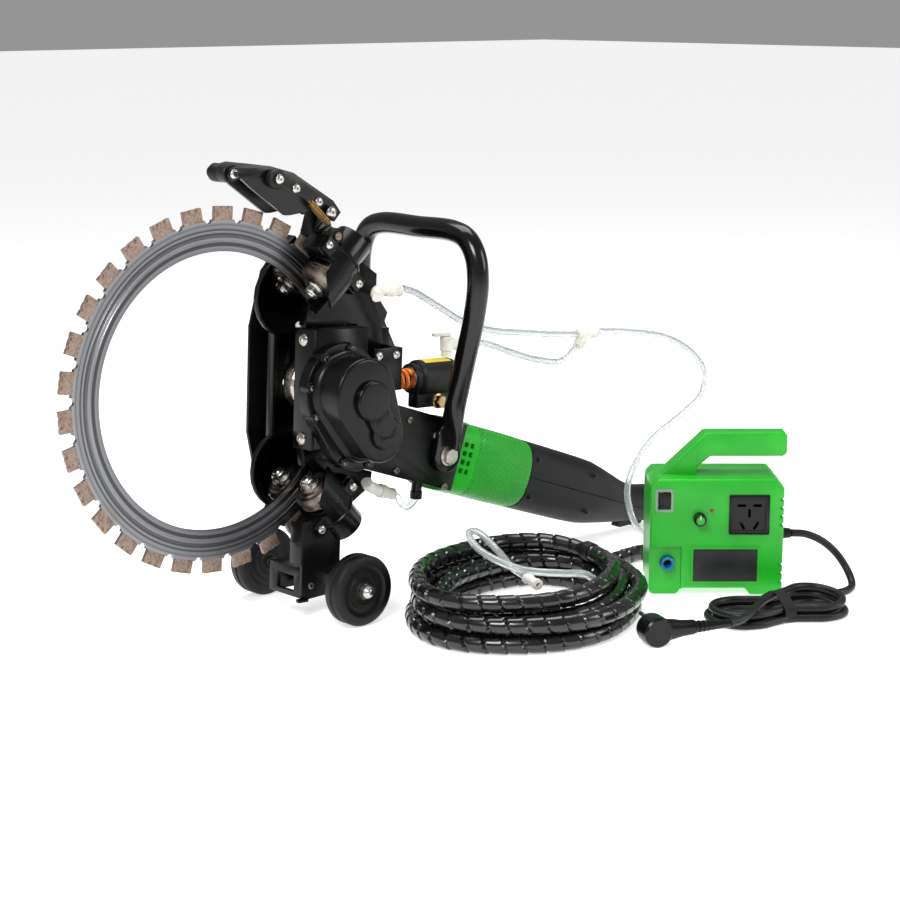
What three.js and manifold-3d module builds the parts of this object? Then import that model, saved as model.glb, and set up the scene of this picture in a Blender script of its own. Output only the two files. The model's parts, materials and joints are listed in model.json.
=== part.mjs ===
// Hand-held electric ring saw with its water pump box, hoses and leads.
// Millimetres, +Z up. The saw stands on its two transport wheels and the end of its rear handle.
// The ring lies in a plane across Y; +X runs from the ring towards the motor and the rear handle.
import * as THREE from 'three';
import { mergeVertices } from 'three/addons/utils/BufferGeometryUtils.js';
import Module from 'manifold-3d';

const wasm = await Module();
wasm.setup();

// ---------------------------------------------------------------- driving dimensions
const RING_OUTER = 200;
const RING_INNER = 152;
const CORE_OUTER = 186;
const CORE_HALF = 2.1;
const SEGMENT_COUNT = 30;
const SEGMENT_LENGTH = 24;
const SEGMENT_HALF = 2.4;
const SEGMENT_PHASE = 5.2;
const GAP = 0.3;

const LAYOUT_SHIFT = [16, -3, 0];
const RING_CENTRE = [-281, 112, 266];
const SAW_TILT = THREE.MathUtils.degToRad(2.9);
const MOTOR_DROP = THREE.MathUtils.degToRad(16.5);

const ROLLER_ANGLE = 44.5;
const ROLLER_SIDE = 26;
const ROLLER_RADIUS = 24.5;
const HOUSING_RADIUS = 22;
const HOUSING_START = 183;
const HOUSING_END = 232;

const DRIVE_CENTRE = [127, 0];
const LAYSHAFT = [152, -46.7];
const BEVEL_DISTANCE = 40;
const GEAR_MODULE = 2;
const DRIVEN_TEETH = 34;
const LAY_TEETH = 19;
const TRANSFER_TEETH = 22;
const BEVEL_SHAFT_TEETH = 18;
const BEVEL_TEETH = 27;
const BEVEL_PINION_TEETH = 9;
const SHAFT_RADIUS = 8;

const CASE_SIDE = 46;
const CASE_HALF_HEIGHT = 40;
const CASE_END = 174;
const MOTOR_HALF = 43;
const GREEN_END = 302;
const BODY_END = 430;
const GRIP_START = 514;
const GRIP_END = 600;
const GRIP_RISE = 0.18;
const WALL = 3;

const WHEEL_RADIUS = 40;
const AXLE = [132.3, -219.6];
const BAIL_TUBE = 12.5;
const BAIL_BOLT = [294, -89.5];

const PUMP_CORNER = [166, -116];
const PUMP_YAW = THREE.MathUtils.degToRad(-42.4);
const PUMP_WIDTH = 155;
const PUMP_DEPTH = 92;
const PUMP_TOP = 138;

const HOSE_RADIUS = 4;
const WRAP_RADIUS = 10;
const LEAD_RADIUS = 4.5;

// ---------------------------------------------------------------- materials
const paint = (color, roughness, metalness) => new THREE.MeshStandardMaterial({ color, roughness, metalness });
const blackCasting = paint('#151516', 0.45, 0.1);
const blackPlastic = paint('#1a1a1b', 0.55, 0);
const greenPlastic = paint('#1fc41f', 0.4, 0);
const steel = paint('#9b9894', 0.32, 1);
const gearSteel = paint('#6f6e6c', 0.4, 1);
const segmentSteel = paint('#8c8480', 0.4, 1);
const orangeSteel = paint('#e07412', 0.4, 0.2);
const brassWire = paint('#8f7040', 0.4, 0.9);
const whitePlastic = paint('#e9e7e0', 0.35, 0);
const clearTube = paint('#dfe6ea', 0.15, 0);
const rubber = paint('#111112', 0.7, 0);
const copper = paint('#a05a34', 0.4, 0.8);
const bluePlastic = paint('#0c6cab', 0.35, 0);

// ---------------------------------------------------------------- solids
function closed(geometry) {
  const bare = geometry.clone();
  bare.deleteAttribute('normal');
  bare.deleteAttribute('uv');
  const merged = mergeVertices(bare, 1e-3);
  const at = merged.attributes.position;
  const corner = (i) => new THREE.Vector3().fromBufferAttribute(at, i);
  const kept = [];
  let volume = 0;
  for (let i = 0; i < merged.index.count; i += 3) {
    const [a, b, c] = [0, 1, 2].map((k) => merged.index.getX(i + k));
    if (a === b || b === c || c === a) continue;
    kept.push(a, b, c);
    volume += corner(a).dot(corner(b).cross(corner(c)));
  }
  if (volume < 0) kept.reverse();
  merged.setIndex(kept);
  return merged;
}

function solid(geometry) {
  const shell = closed(geometry);
  return new wasm.Manifold(new wasm.Mesh({
    numProp: 3,
    vertProperties: new Float32Array(shell.attributes.position.array),
    triVerts: new Uint32Array(shell.index.array),
  }));
}

function geometryOf(body) {
  const mesh = body.simplify(0.02).getMesh();
  const geometry = new THREE.BufferGeometry();
  geometry.setAttribute('position', new THREE.BufferAttribute(new Float32Array(mesh.vertProperties), 3));
  geometry.setIndex([...mesh.triVerts]);
  return geometry;
}

const join = (...parts) => geometryOf(parts.map(solid).reduce((a, b) => a.add(b)));
const cut = (stock, ...tools) => geometryOf([solid(stock), ...tools.map(solid)].reduce((a, b) => a.subtract(b)));
const common = (a, b) => geometryOf(solid(a).intersect(solid(b)));

const block = (x0, x1, y0, y1, z0, z1) => new THREE.BoxGeometry(x1 - x0, y1 - y0, z1 - z0)
  .translate((x0 + x1) / 2, (y0 + y1) / 2, (z0 + z1) / 2);

// An outline in X and Z, given thickness along Y.
function prism(outline, y0, y1) {
  const shape = new THREE.Shape(outline.map(([x, z]) => new THREE.Vector2(x, z)));
  const flat = new THREE.ExtrudeGeometry(shape, { depth: y1 - y0, bevelEnabled: false });
  return flat.rotateX(Math.PI / 2).translate(0, y1, 0);
}

const arc = (cx, cz, radius, from, to, steps) => Array.from({ length: steps + 1 }, (_, i) => {
  const angle = THREE.MathUtils.degToRad(from + (to - from) * i / steps);
  return [cx + radius * Math.cos(angle), cz + radius * Math.sin(angle)];
});

// A profile of [radius, height] pairs turned about +Y.
const turned = (profile, sides = 24) => new THREE.LatheGeometry(
  profile.map(([r, y]) => new THREE.Vector2(r, y)), sides);

const turnedRing = (profile, sides = 24) => turned([...profile, profile[0]], sides);
const disc = (radius, y0, y1, sides = 20) => turned([[0, y0], [radius, y0], [radius, y1], [0, y1]], sides);

// Turns what stands along +Y to stand along a direction, from a start point.
function along(geometry, direction, start = [0, 0, 0]) {
  const turn = new THREE.Quaternion().setFromUnitVectors(
    new THREE.Vector3(0, 1, 0), new THREE.Vector3(...direction).normalize());
  return geometry.clone().applyQuaternion(turn).translate(...start);
}

const alongX = (geometry, start) => along(geometry, [1, 0, 0], start);

function tube(points, radius, steps, sides = 8) {
  const section = new THREE.Shape(Array.from({ length: sides }, (_, i) => {
    const angle = 2 * Math.PI * i / sides;
    return new THREE.Vector2(radius * Math.cos(angle), radius * Math.sin(angle));
  }));
  const path = new THREE.CatmullRomCurve3(points.map((p) => new THREE.Vector3(...p)), false, 'centripetal');
  return new THREE.ExtrudeGeometry(section, { steps, extrudePath: path, bevelEnabled: false });
}

// A skin over matching loops of points, capped at both ends, or closed on itself.
function loft(loops, closes = false) {
  const count = loops[0].length;
  const points = loops.flat();
  const faces = [];
  const spans = closes ? loops.length : loops.length - 1;
  for (let k = 0; k < spans; k += 1) {
    const next = (k + 1) % loops.length;
    for (let i = 0; i < count; i += 1) {
      const j = (i + 1) % count;
      faces.push(k * count + i, k * count + j, next * count + j);
      faces.push(k * count + i, next * count + j, next * count + i);
    }
  }
  if (!closes) {
    for (const [k, flip] of [[0, true], [loops.length - 1, false]]) {
      const middle = loops[k].reduce((sum, p) => sum.map((s, axis) => s + p[axis] / count), [0, 0, 0]);
      points.push(middle);
      for (let i = 0; i < count; i += 1) {
        const pair = [k * count + i, k * count + (i + 1) % count];
        if (flip) pair.reverse();
        faces.push(points.length - 1, ...pair);
      }
    }
  }
  const geometry = new THREE.BufferGeometry();
  geometry.setAttribute('position', new THREE.Float32BufferAttribute(points.flat(), 3));
  geometry.setIndex(faces);
  return geometry;
}

// ---------------------------------------------------------------- scene graph
const assembly = new THREE.Group();
// The layout is shifted so that the middle of the saw and pump box stands over the origin.
const layout = new THREE.Group();
layout.position.set(...LAYOUT_SHIFT);
assembly.add(layout);
const saw = new THREE.Group();
saw.position.set(...RING_CENTRE);
saw.rotation.y = SAW_TILT;
const motor = new THREE.Group();
motor.position.set(LAYSHAFT[0], 0, LAYSHAFT[1]);
motor.rotation.y = MOTOR_DROP;
saw.add(motor);
const pump = new THREE.Group();
pump.position.set(...PUMP_CORNER, 0);
pump.rotation.z = PUMP_YAW;
layout.add(saw, pump);

function add(group, name, geometry, material) {
  const mesh = new THREE.Mesh(closed(geometry), material);
  mesh.name = name;
  group.add(mesh);
}

const motorPlace = new THREE.Matrix4().makeTranslation(LAYSHAFT[0], 0, LAYSHAFT[1])
  .multiply(new THREE.Matrix4().makeRotationY(MOTOR_DROP));
const fromMotor = (geometry) => geometry.clone().applyMatrix4(motorPlace);

// ---------------------------------------------------------------- ring
function ringBlade() {
  const half = CORE_HALF;
  const groove = 1.2;
  const core = turnedRing([
    [RING_INNER, -half], [163.5, -half], [164.5, -groove], [176.5, -groove], [177.5, -half], [CORE_OUTER, -half],
    [CORE_OUTER, half], [177.5, half], [176.5, groove], [164.5, groove], [163.5, half], [RING_INNER, half],
  ], 42);
  const segments = Array.from({ length: SEGMENT_COUNT }, (_, k) => block(
    CORE_OUTER - 2, RING_OUTER, -SEGMENT_HALF, SEGMENT_HALF, -SEGMENT_LENGTH / 2, SEGMENT_LENGTH / 2,
  ).rotateY(-THREE.MathUtils.degToRad(SEGMENT_PHASE + k * 360 / SEGMENT_COUNT)));
  return join(core, ...segments);
}
add(saw, 'ring_blade', ringBlade(), segmentSteel);

// ---------------------------------------------------------------- guide rollers and their housings
const rollerSides = [
  ['upper_near', 1, -1], ['upper_far', 1, 1], ['lower_near', -1, -1], ['lower_far', -1, 1],
];
const radial = (up) => {
  const angle = THREE.MathUtils.degToRad(ROLLER_ANGLE * up);
  return [Math.cos(angle), 0, Math.sin(angle)];
};
const onRadial = (profileSolid, up, side) => along(profileSolid, radial(up), [0, side * ROLLER_SIDE, 0]);

const rollerHousing = () => turned([
  [0, 227], [10.4, 227], [10.4, HOUSING_START], [HOUSING_RADIUS, HOUSING_START],
  [HOUSING_RADIUS, HOUSING_END - 2], [HOUSING_RADIUS - 2, HOUSING_END], [0, HOUSING_END],
], 20);

for (const [place, up, side] of rollerSides) {
  const roller = turned([
    [0, 148], [8, 148], [9, 157], [19, 158], [ROLLER_RADIUS, 165], [ROLLER_RADIUS, 176], [10, 178.5], [10, 226],
    [0, 226],
  ], 16);
  add(saw, `guide_roller_${place}`, onRadial(roller, up, side), steel);
  if (side < 0) add(saw, `roller_housing_${place}`, onRadial(rollerHousing(), up, side), blackCasting);
}

// Shapes placed by distance along a roller's radial line and offset across it.
const acrossRadial = (geometry, up) => geometry.clone()
  .rotateY(-THREE.MathUtils.degToRad(ROLLER_ANGLE * up));
const housingRoom = (up, side) => onRadial(disc(HOUSING_RADIUS + GAP, 178, 245, 20), up, side);
const rollerRoom = (up, side) => onRadial(disc(ROLLER_RADIUS + 2.5, 140, 180.5, 20), up, side);
const ringRoom = () => turnedRing([[146, -6], [205, -6], [205, 6], [146, 6]], 36);

for (const [place, up] of [['upper', 1], ['lower', -1]]) {
  const band = common(
    along(disc(26.5, 186, 204, 24), [1, 0, 0], [0, -ROLLER_SIDE, 0]),
    block(180, 210, -60, -36.3, -40, 40));
  const ears = block(186, 204, -42, -36.3, -37, 37);
  const cap = cut(acrossRadial(join(band, ears), up), housingRoom(up, -1));
  add(saw, `clamp_cap_${place}`, cap, blackCasting);
}

// ---------------------------------------------------------------- frame that carries rollers and gearbox
const ARM_PIVOT = [132, 193];
const caseRoom = () => fromMotor(block(-32, CASE_END + 2, -CASE_SIDE - 1, CASE_SIDE + 1, -40.6, 40.6));

function rollerFrame(up) {
  const foot = up > 0 ? [[226, -2], [178, -2], [178, 67]] : [[208, 96]];
  const plate = prism([
    ...foot, [104, 68], [110, 100], [132, 150], [122, 172], ...(up > 0 ? [] : [[112, 200], [138, 200]]),
    [136, 178], [160, 160], [176, 140], [205, 122],
    ...(up > 0 ? [[205, 92], [214, 62], [226, 50]] : []),
  ].map(([x, z]) => [x, z * up]), -20, -8);
  const seat = acrossRadial(block(184, 204, -36, -8, -38, 38), up);
  const web = acrossRadial(block(205.5, 220, -14, 14, -38, 38), up);
  const rooms = [ringRoom(), housingRoom(up, -1), rollerRoom(up, -1), housingRoom(up, 1), rollerRoom(up, 1)];
  if (up < 0) return cut(join(plate, seat, web), ...rooms, caseRoom());
  const bridge = block(206, 226, -20, 54.7, 12, 60);
  const lug = prism([[118, 166], [146, 166], [139, 193], ...arc(...ARM_PIVOT, 7, 0, 180, 8)], -12, 12);
  const pin = disc(4, -25, 25, 12).translate(ARM_PIVOT[0], 0, ARM_PIVOT[1]);
  return join(cut(join(plate, seat, web, bridge, lug), ...rooms), pin);
}
add(saw, 'roller_frame_upper', rollerFrame(1), blackCasting);
add(saw, 'roller_frame_lower', rollerFrame(-1), blackCasting);

// Cast guard on the far side: two bowls over the far rollers, joined by a spine and a back plate.
// Each bowl has a thin round rim near the ring and slants away behind it, towards the roller housing.
function bowl(up, shrink, front, behind) {
  const round = (x, z, radius, y) => Array.from({ length: 24 }, (_, i) => {
    const angle = 2 * Math.PI * i / 24;
    return [x + (radius - shrink) * Math.cos(angle), y, up * (z + (radius - shrink) * Math.sin(angle))];
  });
  return loft([round(103, 97, 45, front), round(103, 97, 45, 15), round(136, 106, 30, behind)]);
}
function farCover() {
  const back = [55, 59];
  const plate = prism([
    [85, -60], [85, 60], [100, 122], [120, 146], [200, 160], [255, 112], [262, 98], [288, 66], [284, 56], [302, 24],
    [302, 12], [262, 8], [262, -60], [230, -120], [190, -158], [120, -146], [100, -122],
  ], ...back);
  const bowls = [1, -1].map((up) => bowl(up, 0, 11, 58));
  const hollows = [1, -1].map((up) => bowl(up, 3, 6, 55));
  // The spine's outer side slants back as the bowls do.
  const upright = (outline, half) => prism(outline.map(([x, y]) => [x, -y]), -half, half).rotateX(Math.PI / 2);
  const spine = upright([[85, 11], [140, 11], [140, 57], [120, 57], [85, 22]], 60);
  const spineHollow = upright([[89, 6], [204, 6], [204, 55], [121, 55], [89, 23]], 56);
  const seats = [1, -1].map((up) => acrossRadial(block(184, 204, 30, 57, -28, 28), up));
  const windowHole = disc(6, 50, 64, 12).translate(139, 0, -7);
  const rollerRooms = [1, -1].map((up) => rollerRoom(up, 1));
  const bores = [1, -1].map((up) => onRadial(disc(10.4, 176, 227, 20), up, 1));
  const housings = [1, -1].map((up) => onRadial(disc(HOUSING_RADIUS, HOUSING_START, HOUSING_END, 20), up, 1));
  return cut(join(plate, ...bowls, spine, ...seats, ...housings), ...hollows, spineHollow, windowHole,
    ringRoom(), ...rollerRooms, ...bores);
}
add(saw, 'far_cover', farCover(), blackCasting);

// ---------------------------------------------------------------- gear train
const pitchRadius = (teeth) => GEAR_MODULE * teeth / 2;

function gearOutline(teeth, firstTooth = 0) {
  const pitch = 360 / teeth;
  const root = pitchRadius(teeth) - 1.25 * GEAR_MODULE;
  const tip = pitchRadius(teeth) + 0.8 * GEAR_MODULE;
  const flank = [[root, -0.31], [tip, -0.11], [tip, 0.11], [root, 0.31]];
  return Array.from({ length: teeth }, (_, k) => flank.map(([radius, share]) => {
    const angle = THREE.MathUtils.degToRad(firstTooth + (k + share) * pitch);
    return [radius * Math.cos(angle), radius * Math.sin(angle)];
  })).flat();
}

const heading = (from, to) => THREE.MathUtils.radToDeg(Math.atan2(to[1] - from[1], to[0] - from[0]));
const BEVEL_SHAFT = [
  LAYSHAFT[0] + BEVEL_DISTANCE * Math.cos(MOTOR_DROP), LAYSHAFT[1] - BEVEL_DISTANCE * Math.sin(MOTOR_DROP)];
const driveToLay = heading(DRIVE_CENTRE, LAYSHAFT);
const layToBevel = heading(LAYSHAFT, BEVEL_SHAFT);
const at = (geometry, [x, z]) => geometry.translate(x, 0, z);

function driveWheel() {
  return turnedRing([
    [8.3, -9], [29, -9], [31, -7], [31, -4.6], [24.2, -2.7], [24.2, 2.7], [31, 4.6], [31, 7], [29, 9], [8.3, 9],
  ], 24);
}
add(saw, 'drive_wheel', at(driveWheel(), DRIVE_CENTRE), gearSteel);

const driveShaft = turned([
  [0, -100], [SHAFT_RADIUS, -100], [SHAFT_RADIUS, 9.3], [13, 9.3], [13, 16], [0, 16]], 20);
const drivenGear = prism(gearOutline(DRIVEN_TEETH, driveToLay), -96, -84);
add(saw, 'drive_gear_shaft', at(join(driveShaft, drivenGear), DRIVE_CENTRE), gearSteel);

// The layshaft's teeth meet a gap of each neighbour, so its own gears start half a tooth round.
const layPinion = prism(gearOutline(LAY_TEETH, driveToLay + 180 + 180 / LAY_TEETH), -97, -83);
const transferGear = prism(gearOutline(TRANSFER_TEETH, layToBevel), -58, -49);
add(saw, 'layshaft_gears', at(join(disc(6, -100, -24, 16), layPinion, transferGear), LAYSHAFT), gearSteel);

// Bevel wheel: pointed teeth stand off its face, which slopes with the pitch cone.
function bevelWheel() {
  const loop = (radius, height) => Array.from({ length: BEVEL_TEETH * 2 }, (_, i) => {
    const angle = Math.PI * i / BEVEL_TEETH;
    return [radius * Math.cos(angle), height - (i % 2) * (radius > 14 ? 2 : 0), radius * Math.sin(angle)];
  });
  return loft([
    turnLoop(5.5, -20), turnLoop(24, -20), loop(24, -8.4), loop(15, -8.4), turnLoop(5.5, -10.6)], true);
}
const turnLoop = (radius, height) => Array.from({ length: BEVEL_TEETH * 2 }, (_, i) => {
  const angle = Math.PI * i / BEVEL_TEETH;
  return [radius * Math.cos(angle), height, radius * Math.sin(angle)];
});
const bevelPinionGear = prism(gearOutline(BEVEL_SHAFT_TEETH, layToBevel + 180 + 180 / BEVEL_SHAFT_TEETH), -59, -48);
const bevelShaft = disc(6, -60, -10.4, 16);
add(saw, 'bevel_gear_shaft', at(join(bevelShaft, bevelPinionGear, bevelWheel()), BEVEL_SHAFT), gearSteel);

// ---------------------------------------------------------------- gearbox
function gearboxCase() {
  const front = block(99, 173, -CASE_SIDE, -12, -66, 66);
  const neck = fromMotor(block(-30, 60, -CASE_SIDE, -6.3, -CASE_HALF_HEIGHT, CASE_HALF_HEIGHT));
  const barrel = fromMotor(block(50, CASE_END, -CASE_SIDE, CASE_SIDE, -CASE_HALF_HEIGHT, CASE_HALF_HEIGHT));
  const shaftBore = at(disc(SHAFT_RADIUS + GAP, -50, 0), DRIVE_CENTRE);
  const wheelRoom = at(disc(32, -9.6, 10, 24), DRIVE_CENTRE);
  const layBore = at(disc(6 + GAP, -50, -20, 16), LAYSHAFT);
  const bevelRoom = at(disc(26, -40, -7.7, 24), BEVEL_SHAFT);
  const bevelBore = at(disc(6 + GAP, -50, -30, 16), BEVEL_SHAFT);
  const pinionRoom = fromMotor(alongX(disc(10, 49, 72, 16)));
  const motorRoom = fromMotor(alongX(disc(35, 70, CASE_END + 1, 28)));
  return cut(join(front, neck, barrel), shaftBore, wheelRoom, layBore, bevelRoom, bevelBore, pinionRoom, motorRoom, ringRoom());
}
add(saw, 'gearbox_case', gearboxCase(), blackCasting);

function gearCover() {
  const face = -CASE_SIDE - GAP;
  const base = common(
    join(at(disc(50, -62, face, 28), DRIVE_CENTRE), at(disc(45, -62, face, 24), LAYSHAFT),
      at(disc(28, -62, face, 24), BEVEL_SHAFT)),
    block(99.4, 240, -63, face + 1, -120, 62));
  const upperBulge = turned([[0, -61], [43, -61], [43, -92], [38, -101], [28, -105], [0, -105]], 28);
  const lowerBulge = turned([[0, -61], [32, -61], [31, -92], [27, -101], [20, -105], [0, -105]], 24);
  const plateau = prism(lobes(DRIVE_CENTRE, 20, LAYSHAFT, 18), -108, -104);
  const outer = join(base, at(upperBulge, DRIVE_CENTRE), at(lowerBulge, LAYSHAFT), plateau);
  const upperRoom = turned([[0, -40], [38.5, -40], [38.5, -93], [34, -101], [0, -101]], 24);
  const lowerRoom = turned([[0, -40], [27, -40], [27, -93], [23, -101], [0, -101]], 20);
  return cut(outer, at(upperRoom, DRIVE_CENTRE), at(lowerRoom, LAYSHAFT),
    at(disc(23, -60.5, -40, 24), BEVEL_SHAFT));
}

// The outline round two circles, as a belt would run.
function lobes([ax, az], ra, [bx, bz], rb) {
  const line = heading([ax, az], [bx, bz]);
  return [...arc(ax, az, ra, line + 90, line + 270, 8), ...arc(bx, bz, rb, line - 90, line + 90, 8)];
}
add(saw, 'gear_cover', gearCover(), blackCasting);

add(saw, 'front_strap', block(93.5, 98.6, -47, -15, -67, 67), blackCasting);
add(saw, 'side_plate', join(
  block(181, 223, -48.4, -44.4, -8, 41), block(217, 223, -45, -20.4, -6, 41)), blackCasting);

// ---------------------------------------------------------------- motor
function section(half, u, rise = 0, power = 4, sides = 20) {
  return Array.from({ length: sides }, (_, i) => {
    const angle = 2 * Math.PI * (i + 0.5) / sides;
    const [c, s] = [Math.cos(angle), Math.sin(angle)];
    const reach = half / (Math.abs(c) ** power + Math.abs(s) ** power) ** (1 / power);
    return [u, reach * c, rise + reach * s];
  });
}

function motorHousing() {
  const outer = join(
    loft([section(MOTOR_HALF + 1, CASE_END + GAP), section(MOTOR_HALF + 1, 196)]),
    loft([section(MOTOR_HALF, 195), section(MOTOR_HALF, GREEN_END)]));
  return cut(outer, loft([section(MOTOR_HALF - WALL, 170), section(MOTOR_HALF - WALL, GREEN_END + 5)]));
}
add(motor, 'motor_housing', motorHousing(), greenPlastic);

// Rear body tapers into the handle, which turns up a little so that its end lies on the ground.
const rearSizes = (shrink) => [
  [GREEN_END + GAP, MOTOR_HALF - 0.5, 4], [BODY_END, MOTOR_HALF - 2, 4], [BODY_END + 44, 34, 3], [GRIP_START, 26, 2.6],
  [GRIP_START + 30, 24, 2.5], [GRIP_END - 30, 25, 2.5], [GRIP_END - 8, 28, 2.5], [GRIP_END, 27, 2.5],
].map(([u, half, power]) => section(half - shrink, u, Math.max(0, u - GRIP_START) * GRIP_RISE, power));

function rearShell(upper) {
  const inner = rearSizes(WALL);
  const first = inner[0].map(([u, y, v]) => [u - 4, y, v]);
  const last = inner.pop();
  inner.push(last.map(([u, y, v]) => [u - 4, y, v]));
  const shell = cut(loft(rearSizes(0)), loft([first, ...inner]));
  const keep = upper ? block(290, 620, -60, 60, 0.15, 80) : block(290, 620, -60, 60, -80, -0.15);
  const half = common(shell, keep);
  if (upper) return half;
  return cut(half, block(518, 566, -7, 7, -40, -0.1));
}
add(motor, 'rear_shell_upper', rearShell(true), blackPlastic);
add(motor, 'rear_shell_lower', rearShell(false), blackPlastic);

add(motor, 'trigger', prism([
  [519, -17], [564, -8], [564, -18], [556, -23], [542, -25], [526, -31], [519, -31]], -6, 6), rubber);

const bevelPinion = loft([[55.2, 0.6], [64, 1]].map(([u, scale]) => {
  const outline = gearOutline(BEVEL_PINION_TEETH);
  const fit = scale * 7.5 / (pitchRadius(BEVEL_PINION_TEETH) + 0.8 * GEAR_MODULE);
  return outline.map(([a, b]) => [u, a * fit, b * fit]);
}));
add(motor, 'motor_shaft', join(bevelPinion, alongX(disc(5, 63, 338, 16))), gearSteel);
add(motor, 'armature', alongX(join(
  turnedRing([[5.3, 204], [26, 204], [26, 272], [15, 274], [15, 300], [5.3, 300]], 24),
  turnedRing([[5.3, 182], [34, 184], [34, 188], [12, 194], [12, 206], [5.3, 206]], 24))), copper);
add(motor, 'stator', alongX(turnedRing([[27.5, 206], [39, 206], [39, 276], [27.5, 276]], 28)), gearSteel);

// ---------------------------------------------------------------- bail handle
function bailHandle() {
  const [bx, bz] = BAIL_BOLT;
  const near = [
    [bx - 1, -60, bz + 26], [bx - 3, -66, bz + 62], [bx - 7, -84, bz + 118], [bx - 9, -98, bz + 168],
    [bx - 10, -103, bz + 206], [bx - 11, -98, bz + 236], [bx - 12, -84, bz + 254], [bx - 12, -62, bz + 261],
  ];
  const far = near.map(([x, y, z]) => [x, -y, z]).reverse();
  const bar = tube([...near, [bx - 12, 0, bz + 261.5], ...far], BAIL_TUBE, 34, 10);
  const tab = prism([...arc(bx, bz, 20, 180, 360, 10), [bx + 15, bz + 34], [bx - 15, bz + 34]], -54.4, -46.4);
  const farTab = tab.clone().translate(0, 100.8, 0);
  return join(bar, tab, farTab);
}
add(saw, 'bail_handle', bailHandle(), blackCasting);

// ---------------------------------------------------------------- ring tension spring and its cup
const TENSION_HEIGHT = -4;
function coilSpring(x0, x1, radius, wire, turns, stepsPerTurn) {
  const points = Array.from({ length: turns * stepsPerTurn + 1 }, (_, i) => {
    const angle = 2 * Math.PI * i / stepsPerTurn;
    const x = x0 + (x1 - x0) * i / (turns * stepsPerTurn);
    return [x, radius * Math.cos(angle), radius * Math.sin(angle)];
  });
  return tube(points, wire, turns * stepsPerTurn, 6);
}
add(saw, 'tension_spring', coilSpring(229, 275, 10.5, 2.2, 5, 8).translate(0, 0, TENSION_HEIGHT), orangeSteel);
const springCup = join(
  alongX(turned([[0, 280], [14, 280], [14, 277.6], [17.5, 277.6], [17.5, 286], [21, 290], [21, 338], [18, 341],
    [0, 341]], 20), [0, 0, TENSION_HEIGHT]),
  block(294, 325, -10, 10, 12, 19),
  fromMotor(block(152, 172, -12, 12, CASE_HALF_HEIGHT + GAP, 76)));
add(saw, 'spring_cup', springCup, blackPlastic);

// ---------------------------------------------------------------- top guard arm
const ARM_CHEEK = [15.3, 20];
const END_ROLLER = [2, 235];
const FRONT_WHEEL = [53, 230];
function guardArm() {
  const skin = prism([
    ...arc(...END_ROLLER, 7, 270, 90, 6), [20, 246], [51, 243], [82, 236], [139, 205], [150, 192], [141, 182],
    [118, 196], [79, 190], [72, 190], [24, 221], [12, 230],
  ], -ARM_CHEEK[1], ARM_CHEEK[1]);
  const inside = prism([
    [-20, 200], [-20, 243], [14, 240], [50, 237.5], [79, 231], [134, 201], [160, 210], [160, 160], [20, 160],
  ], -ARM_CHEEK[0], ARM_CHEEK[0]);
  const pivotBore = disc(4 + GAP, -30, 30, 12).translate(ARM_PIVOT[0], 0, ARM_PIVOT[1]);
  const rollerBore = disc(3 + GAP, -30, 30, 12).translate(END_ROLLER[0], 0, END_ROLLER[1]);
  const rollerRoomInArm = disc(11.5, -ARM_CHEEK[0], ARM_CHEEK[0], 16).translate(END_ROLLER[0], 0, END_ROLLER[1]);
  const wheelStud = disc(3, -33, -19, 10).translate(FRONT_WHEEL[0], 0, FRONT_WHEEL[1]);
  return join(cut(skin, inside, pivotBore, rollerBore, rollerRoomInArm), wheelStud);
}
add(saw, 'guard_arm', guardArm(), blackPlastic);
const endRoller = turned([[0, -24], [3, -24], [3, -14.8], [10, -14.8], [10, 14.8], [3, 14.8], [3, 24], [0, 24]], 16);
add(saw, 'arm_end_roller', at(endRoller, END_ROLLER), rubber);
add(saw, 'arm_front_wheel', at(turnedRing([[3.3, -31], [10.5, -31], [11, -29], [11, -23], [10.5, -21], [3.3, -21]], 16),
  FRONT_WHEEL), rubber);
const springDrop = [31, 0, -27];
add(saw, 'arm_spring', along(disc(4, 0, Math.hypot(...springDrop), 8), springDrop, [98, -25.5, 206]), brassWire);

// ---------------------------------------------------------------- transport wheels
function lowerBracket() {
  const plate = prism([
    [104, -174], [140, -174], [149, -184], [154, -200], [150, -226], [104, -226], [98, -190]], -28, -20.3);
  const channel = cut(block(98, 152, -32, 26, -238, -204), block(103, 147, -27, 21, -240, -209),
    block(90, 104, -18, 12, -232, -214));
  return cut(join(plate, channel), at(disc(6 + GAP, -40, 40, 16), AXLE), ringRoom());
}
add(saw, 'axle_bracket', lowerBracket(), blackCasting);
const axle = turned([
  [0, -107], [9, -107], [9, -102.6], [6, -102.6], [6, 95.6], [9, 95.6], [9, 100], [0, 100]], 16);
add(saw, 'wheel_axle', at(axle, AXLE), gearSteel);
function wheel() {
  const side = [[6.3, -12], [12, -12], [13, -9], [29, -9], [32, -12], [WHEEL_RADIUS, -10]];
  return turnedRing([...side, ...side.map(([r, y]) => [r, -y]).reverse()], 24);
}
add(saw, 'wheel_near', at(wheel().translate(0, -90, 0), AXLE), rubber);
add(saw, 'wheel_far', at(wheel().translate(0, 83, 0), AXLE), rubber);

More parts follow.
